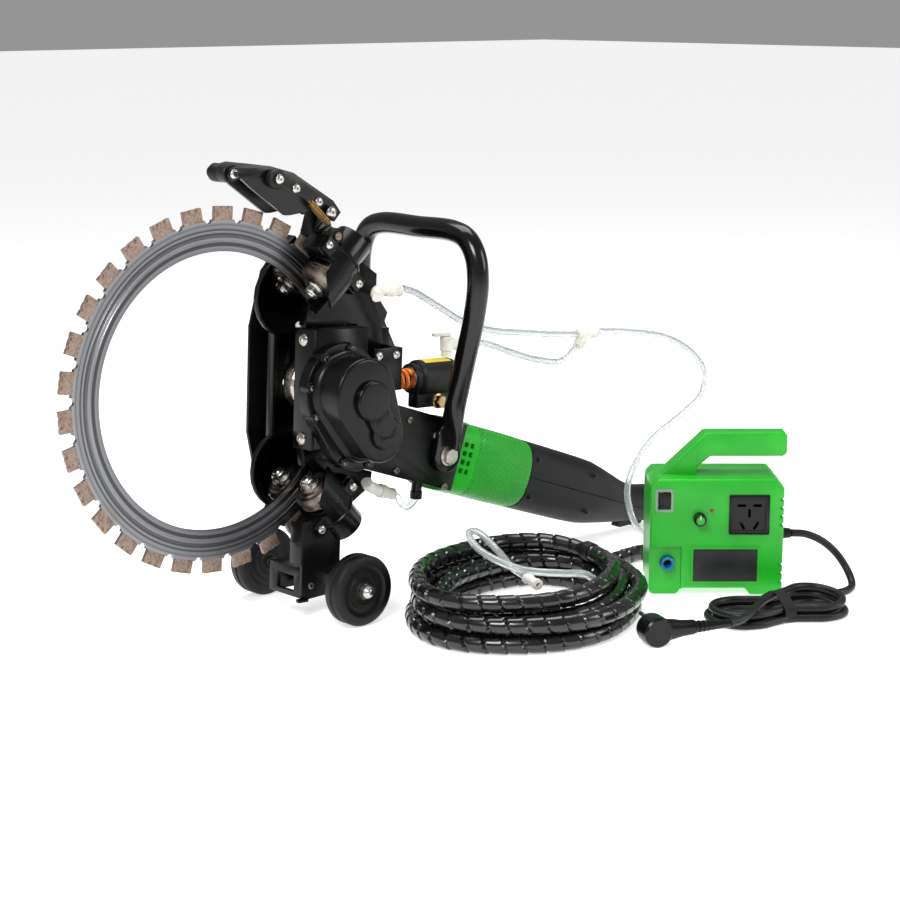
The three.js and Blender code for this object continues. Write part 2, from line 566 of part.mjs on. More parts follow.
// ---------------------------------------------------------------- water fittings on the saw
add(saw, 'upper_elbow', tube([[180, -52, 100], [184, -46, 104], [196, -41, 107], [224, -38, 104]], 7, 6, 10), whitePlastic);
add(saw, 'lower_elbow', tube([[186, -36, -113], [194, -32, -119], [210, -28, -126], [236, -24, -134]], 7, 6, 10), whitePlastic);
function valveBody() {
  const stem = turned([[0, 0], [6, 0], [6, 8], [8, 9], [8, 24], [0, 24]], 12);
  const manifold = alongX(turned([[0, 0], [7, 0], [7, 34], [5.5, 36], [5.5, 42], [0, 42]], 12), [330, 0, 31]);
  return join(along(stem, [0, 0, 1], [334, 0, 17.4]), manifold);
}
add(saw, 'water_valve', valveBody(), whitePlastic);
add(saw, 'valve_lever', join(block(312, 338, -3.5, 3.5, 42, 46), along(disc(3, 0, 4, 10), [0, 0, 1], [334, 0, 41.7])), whitePlastic);
function yConnector() {
  const body = alongX(turned([[0, -17], [7, -17], [8, -14], [8, 10], [7, 17], [0, 17]], 14));
  const branch = along(turned([[0, 0], [6.5, 0], [6.5, 25], [0, 25]], 14), [-0.8, 0, -0.6], [2, 0, 0]);
  return join(body, branch).translate(262, 82, 276);
}
add(layout, 'y_connector', yConnector(), whitePlastic);

// ---------------------------------------------------------------- water pump box
function pumpOutline(inset) {
  const [w, h, i] = [PUMP_WIDTH - inset, PUMP_TOP - inset, inset];
  return [[4 + i, i], [32, i], [38, 8 + i], [112, 8 + i], [118, i], [w - 4, i], [w, 4 + i], [w, h - 10], [w - 10, h],
    [8 + i, h], [i, h - 8], [i, 4 + i]];
}
const PUMP_SPLIT = 64;
const ROCKER = [16, 113];
const KNOB = [57, 92];
const SOCKET = [114.5, 96.5];
const OUTLET = [21, 38];
function pumpFront() {
  const handle = prism([[13, 136], [65, 187], [158, 187], [161, 184], [161, 163], [157, 159], [72, 159], [56, 146],
    [56, 136]], 30, 58);
  const gland = alongX(turned([[0, -3], [8, -3], [8, 3], [5.5, 14], [0, 14]], 12), [PUMP_WIDTH, 38, 65]);
  const shell = cut(join(prism(pumpOutline(0), 0, PUMP_SPLIT), handle, gland),
    block(-5, 38, -5, 6, -5, 58), prism(pumpOutline(4), 10, PUMP_SPLIT + 5));
  return cut(shell, block(ROCKER[0] - 8, ROCKER[0] + 8, -1, 20, ROCKER[1] - 11, ROCKER[1] + 11),
    at(disc(3.4, -1, 20, 12), KNOB), block(SOCKET[0] - 22, SOCKET[0] + 22, -1, 20, SOCKET[1] - 22, SOCKET[1] + 22),
    at(disc(8.4, -1, 20, 16), OUTLET));
}
add(pump, 'pump_front_shell', pumpFront(), greenPlastic);
add(pump, 'pump_back_shell',
  cut(prism(pumpOutline(0), PUMP_SPLIT + GAP, PUMP_DEPTH), prism(pumpOutline(4), PUMP_SPLIT, PUMP_DEPTH - 4)),
  greenPlastic);
add(pump, 'pump_motor', join(block(44, 100, 24, 58, 12.5, 60), alongX(disc(17, 40, 122, 20), [0, 41, 40])), blackPlastic);
add(pump, 'pump_rocker', block(ROCKER[0] - 7, ROCKER[0] + 7, -2.5, 6, ROCKER[1] - 10, ROCKER[1] + 10), blackPlastic);
add(pump, 'pump_knob', at(turned([[0, -13], [7, -13], [7.5, -11], [7.5, -0.5], [3, -0.5], [3, 9], [0, 9]], 16), KNOB),
  blackPlastic);
function socket() {
  const body = block(SOCKET[0] - 21.6, SOCKET[0] + 21.6, -1.2, 22, SOCKET[1] - 21.6, SOCKET[1] + 21.6);
  const slot = (dx, dz, turn) => block(-1.6, 1.6, -5, 16, -5, 5)
    .rotateY(THREE.MathUtils.degToRad(turn)).translate(SOCKET[0] + dx, 0, SOCKET[1] + dz);
  return cut(body, slot(0, 2, 0), slot(-8, -13, -30), slot(8, -13, 30), slot(-9, 11, 90), slot(9, 11, 90));
}
add(pump, 'pump_socket', socket(), blackPlastic);
add(pump, 'outlet_collar', at(turnedRing([[4.4, 1], [8, 1], [8, 12], [4.4, 12]], 16), OUTLET), bluePlastic);

// ---------------------------------------------------------------- free hoses and leads
add(layout, 'upper_hose', tube([
  [-49.5, 74, 361], [-30, 74, 355], [5, 75, 336], [50, 77, 312], [95, 79, 297], [150, 81, 288], [205, 82, 280],
  [244.5, 82, 276]], HOSE_RADIUS, 24), clearTube);
add(layout, 'branch_hose', tube([
  [99, 112, 279], [120, 110, 274], [150, 102, 262], [185, 88, 250], [216, 82, 246], [235, 82, 254.6], [243.6, 82, 260.7]],
  HOSE_RADIUS, 14), clearTube);
add(layout, 'main_hose', tube([
  [279.4, 82, 276], [300, 81, 274], [340, 78, 269], [400, 73, 256], [444, 69, 232], [466, 67, 206], [462, 66, 178],
  [424, 66, 155], [372, 66, 132], [338, 66, 104], [322, 65, 74], [324, 62, 44], [336, 58, 18], [346, 46, 6],
  [345, 20, 5], [330, 3, 5]], HOSE_RADIUS, 48), clearTube);
add(layout, 'umbilical_lead', tube([
  [442.2, 112, 26], [460, 112, 20], [480, 112, 15.2], [504, 111, 12], [530, 104, 10.4], [550, 82, 10.3], [556, 50, 10.3], [544, 16, 10.3], [515, -12, 10.3],
  [470, -26, 10.3], [420, -28, 10.3], [360, -22, 10.3], [310, -12, 10.3], [265, -4, 10.4], [230, -10, 11], [203, -30, 13],
  [181, -56, 16]], WRAP_RADIUS, 34, 8), rubber);

const COIL_CENTRE = [-2, -80];
const COIL_TURN = THREE.MathUtils.degToRad(25);
function umbilicalCoil() {
  const ring = (grow, z) => Array.from({ length: 32 }, (_, i) => {
    const angle = 2 * Math.PI * i / 32;
    return [(140 + grow) * Math.cos(angle), (108 + grow) * Math.sin(angle), z];
  });
  const skin = loft([ring(-25, 12), ring(-15, 0.2), ring(15, 0.2), ring(25, 12), ring(25, 36), ring(12, 58), ring(-14, 58),
    ring(-25, 46)], true);
  return skin.rotateZ(COIL_TURN).translate(...COIL_CENTRE, 0);
}
add(layout, 'umbilical_coil', umbilicalCoil(), rubber);
add(layout, 'bundle_hose', tube([
  [20, -164, 63], [-20, -160, 67], [-60, -130, 76], [-74, -84, 92], [-58, -48, 104], [-36, -40, 98], [-34, -66, 80],
  [-50, -105, 66], [-54, -135, 64]], 4, 26), clearTube);

add(layout, 'mains_lead', tube([
  [317.2, -202.5, 65], [332, -212, 63], [350, -224, 53], [364, -236, 36], [367, -250, 17], [358, -263, 6.5],
  [338, -272, 4.8], [312, -272, 4.8], [294, -271, 4.8]], LEAD_RADIUS, 20), rubber);
const HANK_CENTRE = [209, -273];
const HANK_TURN = THREE.MathUtils.degToRad(-22.5);
const hank = prism([...arc(44, 0, 44, -90, 90, 10), ...arc(-44, 0, 44, 90, 270, 10)], 0.2, 27)
  .rotateX(Math.PI / 2).rotateZ(HANK_TURN).translate(...HANK_CENTRE, 0);
add(layout, 'mains_hank', hank, rubber);
function mainsPlug() {
  const head = block(-17, 17, -16, 16, -16, 16);
  const neck = block(15, 44, -9, 9, -12, 2);
  const relief = along(turned([[0, 0], [7, 0], [5.5, 26], [LEAD_RADIUS, 27], [LEAD_RADIUS, 46], [0, 46]], 12),
    [1, 0, 0], [42, 0, -6]);
  const pins = [-9.5, 9.5].map((y) => along(disc(2.4, 0, 19, 10), [0, 0, 1], [-6, y, 15]));
  return join(head, neck, relief, ...pins).rotateX(-Math.PI / 2).rotateZ(HANK_TURN).translate(27, -250, 16.3);
}
add(layout, 'mains_plug', mainsPlug(), rubber);

export default assembly;
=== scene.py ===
# Hand-held electric ring saw with its water pump box, hoses and leads.
import json
import math

import bpy
from mathutils import Matrix, Vector


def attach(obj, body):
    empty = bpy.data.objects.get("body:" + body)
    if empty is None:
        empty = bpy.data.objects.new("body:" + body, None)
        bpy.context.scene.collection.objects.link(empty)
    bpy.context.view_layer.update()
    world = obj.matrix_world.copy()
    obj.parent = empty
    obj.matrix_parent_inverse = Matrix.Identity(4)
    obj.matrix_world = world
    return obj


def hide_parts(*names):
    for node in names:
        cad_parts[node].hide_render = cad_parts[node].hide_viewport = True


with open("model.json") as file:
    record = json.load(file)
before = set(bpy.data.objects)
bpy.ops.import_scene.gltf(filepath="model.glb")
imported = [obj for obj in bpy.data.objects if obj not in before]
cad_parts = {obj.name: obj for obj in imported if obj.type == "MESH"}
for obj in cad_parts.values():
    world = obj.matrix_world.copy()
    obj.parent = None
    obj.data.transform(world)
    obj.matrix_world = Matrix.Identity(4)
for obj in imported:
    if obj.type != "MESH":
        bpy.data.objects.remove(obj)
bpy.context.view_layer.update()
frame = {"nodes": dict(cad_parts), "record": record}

NODES = frame["nodes"]
scene = bpy.context.scene

# ---------------------------------------------------------------- frames of the saw, its motor and the pump box
# Pieces are modelled in millimetres in one of these frames and then laid into the object's own frame.
SAW = Matrix.Translation((-0.265, 0.109, 0.266)) @ Matrix.Rotation(math.radians(2.9), 4, "Y")
MOTOR = SAW @ Matrix.Translation((0.152, 0, -0.0467)) @ Matrix.Rotation(math.radians(16.5), 4, "Y")
PUMP = Matrix.Translation((0.182, -0.119, 0)) @ Matrix.Rotation(math.radians(-42.4), 4, "Z")
GROUND = Matrix.Identity(4)

# Sizes shared with the solids, in millimetres.
RING_OUTER, CORE_OUTER, RING_INNER = 200, 186, 152
ROLLER_ANGLE, ROLLER_SIDE, ROLLER_RADIUS = 44.5, 26, 24.5
HOUSING_RADIUS, HOUSING_START, HOUSING_END = 22, 183, 232
DRIVE, LAYSHAFT = (127, 0), (152, -46.7)
AXLE = (132.3, -219.6)
ARM_PIVOT, END_ROLLER, FRONT_WHEEL = (132, 193), (2, 235), (53, 230)
BAIL_BOLT = (294, -89.5)


# ---------------------------------------------------------------- materials
def linear(code):
    """An sRGB hex colour as Blender's linear values."""
    channels = [int(code[i:i + 2], 16) / 255 for i in (1, 3, 5)]
    return [c / 12.92 if c <= 0.04045 else ((c + 0.055) / 1.055) ** 2.4 for c in channels] + [1]


def node(material, kind, settings=None, **links):
    """Adds one node, with its settings by name and its inputs from other nodes' outputs."""
    made = material.node_tree.nodes.new(kind)
    for key, value in (settings or {}).items():
        if hasattr(made, key):
            setattr(made, key, value)
        else:
            made.inputs[key].default_value = value
    for key, source in links.items():
        material.node_tree.links.new(source, made.inputs[int(key[1:]) if key[1:].isdigit() else key])
    return made


def plain(name, colour, roughness, metallic=0.0, **sockets):
    material = bpy.data.materials.new(name)
    material.use_nodes = True
    shader = material.node_tree.nodes["Principled BSDF"]
    values = {"Base Color": linear(colour), "Roughness": roughness, "Metallic": metallic}
    values.update({key.replace("_", " "): value for key, value in sockets.items()})
    for key, value in values.items():
        shader.inputs[key].default_value = value
    return material


def surfaced(name, colours, roughness, grain_mm, depth_mm, metallic=0.0, patch_mm=40, **sockets):
    """A finish with a fine bumpy grain, patches of slightly other colour and of other gloss.

    colours are the two ends of the patches, roughness the two ends of the gloss."""
    material = plain(name, colours[0], roughness[0], metallic, **sockets)
    links = material.node_tree.links
    shader = material.node_tree.nodes["Principled BSDF"]
    place = node(material, "ShaderNodeTexCoord").outputs["Object"]
    patch = node(material, "ShaderNodeTexNoise", {"Scale": 1000 / patch_mm, "Detail": 4.0}, Vector=place).outputs[0]
    tint = node(material, "ShaderNodeValToRGB", Fac=patch)
    tint.color_ramp.elements[0].color, tint.color_ramp.elements[1].color = linear(colours[0]), linear(colours[1])
    tint.color_ramp.elements[0].position, tint.color_ramp.elements[1].position = 0.35, 0.65
    gloss = node(material, "ShaderNodeMapRange", {"To Min": roughness[0], "To Max": roughness[1], "From Min": 0.3,
                                                  "From Max": 0.7}, Value=patch)
    grain = node(material, "ShaderNodeTexNoise", {"Scale": 1000 / grain_mm, "Detail": 2.0}, Vector=place).outputs[0]
    bump = node(material, "ShaderNodeBump", {"Strength": 1.0, "Distance": depth_mm / 1000}, Height=grain)
    links.new(tint.outputs[0], shader.inputs["Base Color"])
    links.new(gloss.outputs[0], shader.inputs["Roughness"])
    links.new(bump.outputs[0], shader.inputs["Normal"])
    return material


# Enamel sprayed on cast alloy: deep black, glossy, with faint orange peel and handling smears.
enamel = surfaced("gloss black enamel", ("#050506", "#0a0a0b"), (0.2, 0.34), 2.2, 0.03, patch_mm=55, Specular_IOR_Level=0.24)
# The same enamel on bent sheet and tube: smoother and a little shinier.
tube_enamel = surfaced("powder coated tube", ("#070708", "#0c0c0d"), (0.14, 0.22), 3, 0.012, patch_mm=70,
                       Specular_IOR_Level=0.42)
# Spark-eroded ABS mouldings: a fine even grain that scatters the light.
black_abs = surfaced("textured black ABS", ("#0b0b0c", "#121213"), (0.42, 0.52), 0.9, 0.035, patch_mm=35,
                     Specular_IOR_Level=0.26)
smooth_abs = surfaced("polished black ABS", ("#08080a", "#0e0e0f"), (0.24, 0.32), 2.5, 0.01, patch_mm=30,
                      Specular_IOR_Level=0.3)
green_abs = surfaced("green ABS", ("#17b31f", "#13a31a"), (0.3, 0.4), 1.1, 0.02, patch_mm=45)
# Turned and ground steel: bright, with light tool marks.
turned_steel = surfaced("turned steel", ("#a39d95", "#c4bfb8"), (0.22, 0.36), 0.8, 0.01, 1.0, patch_mm=12)
worn_steel = surfaced("worn roller steel", ("#4c4640", "#857b70"), (0.26, 0.42), 1.0, 0.02, 1.0, patch_mm=14)
zinc = surfaced("bright zinc plate", ("#b7b5ad", "#d8d6d0"), (0.2, 0.34), 1.2, 0.01, 1.0, patch_mm=6)
brass_wire = surfaced("brassed spring wire", ("#7e6238", "#9c7c49"), (0.3, 0.42), 1.0, 0.01, 1.0, patch_mm=8)
brass = surfaced("brass", ("#b79468", "#c9a87c"), (0.25, 0.35), 1.5, 0.01, 1.0, patch_mm=8)
copper_wire = surfaced("varnished copper winding", ("#8a4a26", "#a55c31"), (0.35, 0.5), 1.2, 0.2, 0.8, patch_mm=10)
rubber = surfaced("moulded rubber", ("#0a0a0b", "#111111"), (0.4, 0.56), 1.6, 0.03, patch_mm=25,
                  Specular_IOR_Level=0.32)
lead_rubber = surfaced("rubber cable jacket", ("#0b0b0c", "#121212"), (0.36, 0.48), 1.4, 0.02, patch_mm=30,
                       Specular_IOR_Level=0.35)
wrap_plastic = surfaced("black spiral wrap", ("#08080a", "#111113"), (0.17, 0.3), 2.4, 0.02, patch_mm=30,
                        Coat_Weight=0.3, Coat_Roughness=0.1)
orange_wire = surfaced("orange enamelled spring steel", ("#fb7c10", "#ff9a30"), (0.28, 0.4), 1.6, 0.02, patch_mm=9,
                       Coat_Weight=0.3)
white_nylon = surfaced("white nylon", ("#dcd9cf", "#efede6"), (0.3, 0.42), 1.8, 0.01, patch_mm=9,
                       Subsurface_Weight=0.15, Subsurface_Radius=(0.003, 0.003, 0.002))
blue_acetal = surfaced("blue acetal", ("#0a62a4", "#1278c4"), (0.26, 0.36), 1.8, 0.01, patch_mm=9)
yellow_vinyl = surfaced("yellow vinyl", ("#d8c21a", "#e6d335"), (0.35, 0.45), 2, 0.005, patch_mm=20)
dark_vinyl = surfaced("printed black vinyl", ("#1a1b1c", "#222324"), (0.3, 0.4), 2, 0.005, patch_mm=20)
# Soft clear hose: thin-walled and slightly milky, so that it shows as bright edges.
clear_pvc = surfaced("clear soft hose", ("#eef2f4", "#f8fafb"), (0.08, 0.16), 4, 0.01, patch_mm=40,
                     Transmission_Weight=0.82, IOR=1.4)


def ring_steel():
    """Rolled and turned ring steel: fine turning lines that run round, grey rings that are partly the steel's own tone
    and partly painted sheen, and a few rusty smears.
    """
    material = plain("turned ring steel", "#6a6a6c", 0.3, 1.0)
    links = material.node_tree.links
    shader = material.node_tree.nodes["Principled BSDF"]
    place = node(material, "ShaderNodeTexCoord").outputs["Object"]
    centred = node(material, "ShaderNodeMapping", {"Location": (0.265, -0.109, -0.266)}, Vector=place).outputs[0]
    flat = node(material, "ShaderNodeVectorMath", {"operation": "MULTIPLY"}, _0=centred)
    flat.inputs[1].default_value = (1, 0, 1)
    radius = node(material, "ShaderNodeVectorMath", {"operation": "LENGTH"}, _0=flat.outputs[0]).outputs["Value"]
    # Turning lines are a few hundredths of a millimetre apart; they are drawn 0.6 mm apart so that they show.
    lines = node(material, "ShaderNodeTexNoise", {"noise_dimensions": "1D", "Scale": 1700, "Detail": 3.0}, W=radius)
    tone_and_sheen_bands = node(material, "ShaderNodeTexNoise", {"noise_dimensions": "1D", "Scale": 210, "Detail": 1.0}, W=radius)
    smears = node(material, "ShaderNodeTexNoise", {"Scale": 14, "Detail": 6.0, "Distortion": 0.6}, Vector=centred)
    # The light grey end of this ramp is a painted highlight: its rings paint the turned face's round sheen over the
    # steel's own grey tone.
    steel = node(material, "ShaderNodeValToRGB", Fac=tone_and_sheen_bands.outputs[0])
    steel.color_ramp.elements[0].color, steel.color_ramp.elements[1].color = linear("#48484a"), linear("#8d8e91")
    steel.color_ramp.elements[0].position, steel.color_ramp.elements[1].position = 0.3, 0.7
    rusty = node(material, "ShaderNodeMapRange", {"From Min": 0.6, "From Max": 0.75, "To Max": 0.45},
                 Value=smears.outputs[0])
    colour = node(material, "ShaderNodeMix", {"data_type": "RGBA"}, _0=rusty.outputs[0], _6=steel.outputs[0])
    colour.inputs[7].default_value = linear("#6b5a50")
    gloss = node(material, "ShaderNodeMapRange", {"To Min": 0.2, "To Max": 0.44}, Value=lines.outputs[0])
    bump = node(material, "ShaderNodeBump", {"Strength": 0.35, "Distance": 0.00005}, Height=lines.outputs[0])
    links.new(colour.outputs[2], shader.inputs["Base Color"])
    links.new(gloss.outputs[0], shader.inputs["Roughness"])
    links.new(bump.outputs[0], shader.inputs["Normal"])
    return material


# Sintered metal with diamond grit: dull brown grey and speckled.
segment_metal = surfaced("sintered diamond segment", ("#7a685c", "#a08d7f"), (0.38, 0.58), 0.9, 0.12, 0.7, patch_mm=2.5)
round_steel = ring_steel()


def green_grip():
    """Green ABS with a moulded net of small lozenges, 7 mm across, as on the motor body."""
    material = surfaced("netted green ABS", ("#17b31f", "#13a31a"), (0.3, 0.4), 1.1, 0.02, patch_mm=45)
    shader = material.node_tree.nodes["Principled BSDF"]
    place = node(material, "ShaderNodeTexCoord").outputs["Object"]
    turned = node(material, "ShaderNodeMapping", {"Rotation": (0, -math.radians(19.4), 0)}, Vector=place).outputs[0]
    apart = node(material, "ShaderNodeSeparateXYZ", Vector=turned)
    waves = []
    for sign in (1, -1):
        mixed = node(material, "ShaderNodeMath", {"operation": "MULTIPLY_ADD"}, _0=apart.outputs["Z"],
                     _2=apart.outputs["X"])
        mixed.inputs[1].default_value = sign * 1.3
        scaled = node(material, "ShaderNodeMath", {"operation": "MULTIPLY"}, _0=mixed.outputs[0])
        scaled.inputs[1].default_value = 1000 * math.pi / 7.0
        waves.append(node(material, "ShaderNodeMath", {"operation": "SINE"}, _0=scaled.outputs[0]).outputs[0])
    sizes = [node(material, "ShaderNodeMath", {"operation": "ABSOLUTE"}, _0=wave).outputs[0] for wave in waves]
    net = node(material, "ShaderNodeMath", {"operation": "MINIMUM"}, _0=sizes[0], _1=sizes[1]).outputs[0]
    edge = node(material, "ShaderNodeMapRange", {"From Max": 0.35, "interpolation_type": "SMOOTHSTEP"}, Value=net)
    old = shader.inputs["Normal"].links[0].from_node
    bump = node(material, "ShaderNodeBump", {"Strength": 1.0, "Distance": 0.0014}, Height=edge.outputs[0],
                Normal=old.outputs[0])
    material.node_tree.links.new(bump.outputs[0], shader.inputs["Normal"])
    return material


netted_green = green_grip()


# ---------------------------------------------------------------- making pieces
def alone(piece):
    """Selects one object and makes it the active one."""
    bpy.ops.object.select_all(action="DESELECT")
    piece.select_set(True)
    bpy.context.view_layer.objects.active = piece
    return piece


def drawn(name, points, edges=(), faces=()):
    mesh = bpy.data.meshes.new(name)
    mesh.from_pydata([tuple(p) for p in points], list(edges), [list(f) for f in faces])
    piece = bpy.data.objects.new(name, mesh)
    scene.collection.objects.link(piece)
    return alone(piece)


def applied(piece, kind, **settings):
    """Adds one modifier and applies it."""
    alone(piece)
    modifier = piece.modifiers.new(kind.lower(), kind)
    for key, value in settings.items():
        setattr(modifier, key, value)
    bpy.ops.object.modifier_apply(modifier=modifier.name)
    return piece


def eased(piece, width=0.8, segments=2, angle=32):
    """Rounds the sharp edges, as a casting's or a moulding's are."""
    return applied(piece, "BEVEL", width=width, segments=segments, limit_method="ANGLE",
                   angle_limit=math.radians(angle), use_clamp_overlap=True)


def outward(piece):
    alone(piece)
    bpy.ops.object.mode_set(mode="EDIT")
    bpy.ops.mesh.select_all(action="SELECT")
    bpy.ops.mesh.remove_doubles(threshold=0.001)
    bpy.ops.mesh.normals_make_consistent(inside=False)
    bpy.ops.object.mode_set(mode="OBJECT")
    return piece


def spun(name, profile, steps=64, ring=False):
    """A profile of (radius, height) turned about +Y; a ring's profile closes on itself."""
    edges = [(i, i + 1) for i in range(len(profile) - 1)] + ([(len(profile) - 1, 0)] if ring else [])
    piece = drawn(name, [(r, y, 0) for r, y in profile], edges)
    bpy.ops.object.mode_set(mode="EDIT")
    bpy.ops.mesh.select_all(action="SELECT")
    bpy.ops.mesh.spin(steps=steps, angle=2 * math.pi, center=(0, 0, 0), axis=(0, 1, 0))
    bpy.ops.object.mode_set(mode="OBJECT")
    return outward(piece)


def pushed(name, outline, low, high, ease=0.8, segments=2):
    """An outline in X and Z pushed out along Y from low to high, with eased edges."""
    piece = drawn(name, [(x, low, z) for x, z in outline], (), [range(len(outline))])
    bpy.ops.object.mode_set(mode="EDIT")
    bpy.ops.mesh.select_all(action="SELECT")
    bpy.ops.mesh.extrude_region_move(TRANSFORM_OT_translate={"value": (0, high - low, 0)})
    bpy.ops.object.mode_set(mode="OBJECT")
    outward(piece)
    return eased(piece, ease, segments) if ease else piece


def brick(name, x0, x1, y0, y1, z0, z1, ease=0.8, segments=2):
    bpy.ops.object.select_all(action="DESELECT")
    bpy.ops.mesh.primitive_cube_add(size=1, location=((x0 + x1) / 2, (y0 + y1) / 2, (z0 + z1) / 2),
                                    scale=(x1 - x0, y1 - y0, z1 - z0))
    piece = bpy.context.object
    piece.name = name
    bpy.ops.object.transform_apply(location=True, rotation=True, scale=True)
    return eased(piece, ease, segments) if ease else piece


def rod(name, radius, low, high, steps=40, ease=0.0):
    profile = [(0, low), (radius - ease, low), (radius, low + ease), (radius, high - ease), (radius - ease, high),
               (0, high)]
    return spun(name, profile if ease else [profile[0], (radius, low), (radius, high), profile[-1]], steps)


def moved(piece, matrix):
    piece.data.transform(matrix)
    return piece


def set_down(piece, x, z, y=0):
    return moved(piece, Matrix.Translation((x, y, z)))


def pointed(piece, direction, start=(0, 0, 0)):
    """Turns what stands along +Y to stand along a direction, from a start point."""
    turn = Vector((0, 1, 0)).rotation_difference(Vector(direction)).to_matrix().to_4x4()
    return moved(piece, Matrix.Translation(start) @ turn)


def joined(piece, *others):
    """One object of several closed bodies."""
    alone(piece)
    for other in others:
        other.select_set(True)
    bpy.ops.object.join()
    return piece


def boolean(piece, tools, operation):
    tool = joined(tools[0], *tools[1:]) if len(tools) > 1 and operation == "DIFFERENCE" else None
    for one in ([tool] if tool else tools):
        applied(piece, "BOOLEAN", object=one, operation=operation, solver="EXACT", use_self=operation == "DIFFERENCE")
        bpy.data.objects.remove(one)
    return piece


def cut(piece, *tools):
    return boolean(piece, list(tools), "DIFFERENCE")


def fused(piece, *others):
    return boolean(piece, list(others), "UNION")


def copied(piece, name):
    other = piece.copy()
    other.data = piece.data.copy()
    other.name = name
    scene.collection.objects.link(other)
    return other


def laid(piece, place, material, body, slot, *nodes, angle=35):
    """Lays a piece into the object's frame, gives it its finish and joins it to a body."""
    alone(piece)
    moved(piece, place @ Matrix.Scale(0.001, 4))
    bpy.ops.object.shade_smooth_by_angle(angle=math.radians(angle))
    piece.data.materials.clear()
    piece.data.materials.append(material)
    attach(piece, body)
    if nodes:
        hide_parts(*nodes)
    return piece


def arc(cx, cz, radius, start, end, steps):
    angles = [math.radians(start + (end - start) * i / steps) for i in range(steps + 1)]
    return [(cx + radius * math.cos(a), cz + radius * math.sin(a)) for a in angles]


def smooth_line(points, steps):
    """Points evenly set along a centripetal Catmull-Rom curve, as the solids' routes are."""
    pts = [Vector(p) for p in points]
    pts = [2 * pts[0] - pts[1]] + pts + [2 * pts[-1] - pts[-2]]
    dense = []
    for p0, p1, p2, p3 in zip(pts, pts[1:], pts[2:], pts[3:]):
        t1 = (p1 - p0).length ** 0.5
        t2 = t1 + max((p2 - p1).length ** 0.5, 1e-9)
        t3 = t2 + max((p3 - p2).length ** 0.5, 1e-9)
        for k in range(24):
            t = t1 + (t2 - t1) * k / 24
            a1 = p0 * ((t1 - t) / t1) + p1 * (t / t1)
            a2 = p1 * ((t2 - t) / (t2 - t1)) + p2 * ((t - t1) / (t2 - t1))
            a3 = p2 * ((t3 - t) / (t3 - t2)) + p3 * ((t - t2) / (t3 - t2))
            b1 = a1 * ((t2 - t) / t2) + a2 * (t / t2)
            b2 = a2 * ((t3 - t) / (t3 - t1)) + a3 * ((t - t1) / (t3 - t1))
            dense.append(b1 * ((t2 - t) / (t2 - t1)) + b2 * ((t - t1) / (t2 - t1)))
    dense.append(pts[-2])
    lengths = [0.0]
    for a, b in zip(dense, dense[1:]):
        lengths.append(lengths[-1] + (b - a).length)
    out, j = [], 0
    for i in range(steps + 1):
        goal = lengths[-1] * i / steps
        while j < len(dense) - 2 and lengths[j + 1] < goal:
            j += 1
        part = (goal - lengths[j]) / max(lengths[j + 1] - lengths[j], 1e-9)
        out.append(dense[j].lerp(dense[j + 1], min(part, 1)))
    return out, lengths[-1]


def along_line(name, line, section, closed_ends=True):
    """A skin along a line of points; section(i, share) gives that ring's (side, up) points."""
    side = None
    rings = []
    for i, point in enumerate(line):
        ahead = (line[min(i + 1, len(line) - 1)] - line[max(i - 1, 0)]).normalized()
        if side is None:
            side = ahead.cross(Vector((0, 0, 1)) if abs(ahead.z) < 0.9 else Vector((1, 0, 0))).normalized()
        side = (side - ahead * side.dot(ahead)).normalized()
        up = side.cross(ahead)
        rings.append([point + side * a + up * b for a, b in section(i, i / (len(line) - 1))])
    count = len(rings[0])
    points = [p for ring in rings for p in ring]
    faces = [(k * count + i, k * count + (i + 1) % count, (k + 1) * count + (i + 1) % count, (k + 1) * count + i)
             for k in range(len(rings) - 1) for i in range(count)]
    if closed_ends:
        faces += [range(count), range(len(points) - count, len(points))]
    return outward(drawn(name, points, (), faces))


def circle(radius, sides=20):
    return [(radius * math.cos(2 * math.pi * i / sides), radius * math.sin(2 * math.pi * i / sides))
            for i in range(sides)]


def pipe(name, points, radius, steps=40, sides=20):
    line, _ = smooth_line(points, steps)
    return along_line(name, line, lambda i, share: circle(radius, sides))


def lofted(name, loops, caps=True):
    count = len(loops[0])
    points = [p for loop in loops for p in loop]
    faces = [(k * count + i, k * count + (i + 1) % count, (k + 1) * count + (i + 1) % count, (k + 1) * count + i)
             for k in range(len(loops) - 1) for i in range(count)]
    if caps:
        faces += [range(count), range(len(points) - count, len(points))]
    return outward(drawn(name, points, (), faces))


# ---------------------------------------------------------------- screws, nuts and washers
def socket_screw(name, head=5.0, height=2.6, socket=1.7):
    """A button head with a hexagon socket, standing along +Y from its seat."""
    profile = [(0, height), (socket + 0.6, height), (head * 0.72, height * 0.86), (head * 0.95, height * 0.45),
               (head, 0.2), (head, -0.2), (0, -0.2)]
    screw = spun(name, profile, 24)
    key = [(socket * math.cos(math.radians(60 * k)), socket * math.sin(math.radians(60 * k))) for k in range(6)]
    return cut(screw, pushed("key", key, height * 0.35, height + 1, 0))


def hex_bolt(name, flats=13.0, height=6.0, flange=9.5, stud=0.0, stud_radius=4.0):
    """A flanged hexagon head or nut, standing along +Y from its seat, with the stud's end if it is a nut."""
    corner = flats / math.sqrt(3)
    head = pushed(name, [(corner * math.cos(math.radians(60 * k)), corner * math.sin(math.radians(60 * k)))
                         for k in range(6)], 0.8, height, 0)
    dome = spun("dome", [(0, 0), (flats * 0.56, 0), (flats * 0.56, height - 1.2), (flats * 0.44, height), (0, height)], 36)
    applied(head, "BOOLEAN", object=dome, operation="INTERSECT", solver="EXACT")
    bpy.data.objects.remove(dome)
    washer = spun("washer", [(0, 0), (flange, 0), (flange, 0.9), (flange - 1.2, 1.6), (0, 1.6)], 36)
    parts = [washer]
    if stud:
        parts.append(spun("stud", [(0, 0), (stud_radius, 0), (stud_radius, stud - 0.8), (stud_radius - 0.8, stud),
                                   (0, stud)], 20))
    return joined(head, *parts)


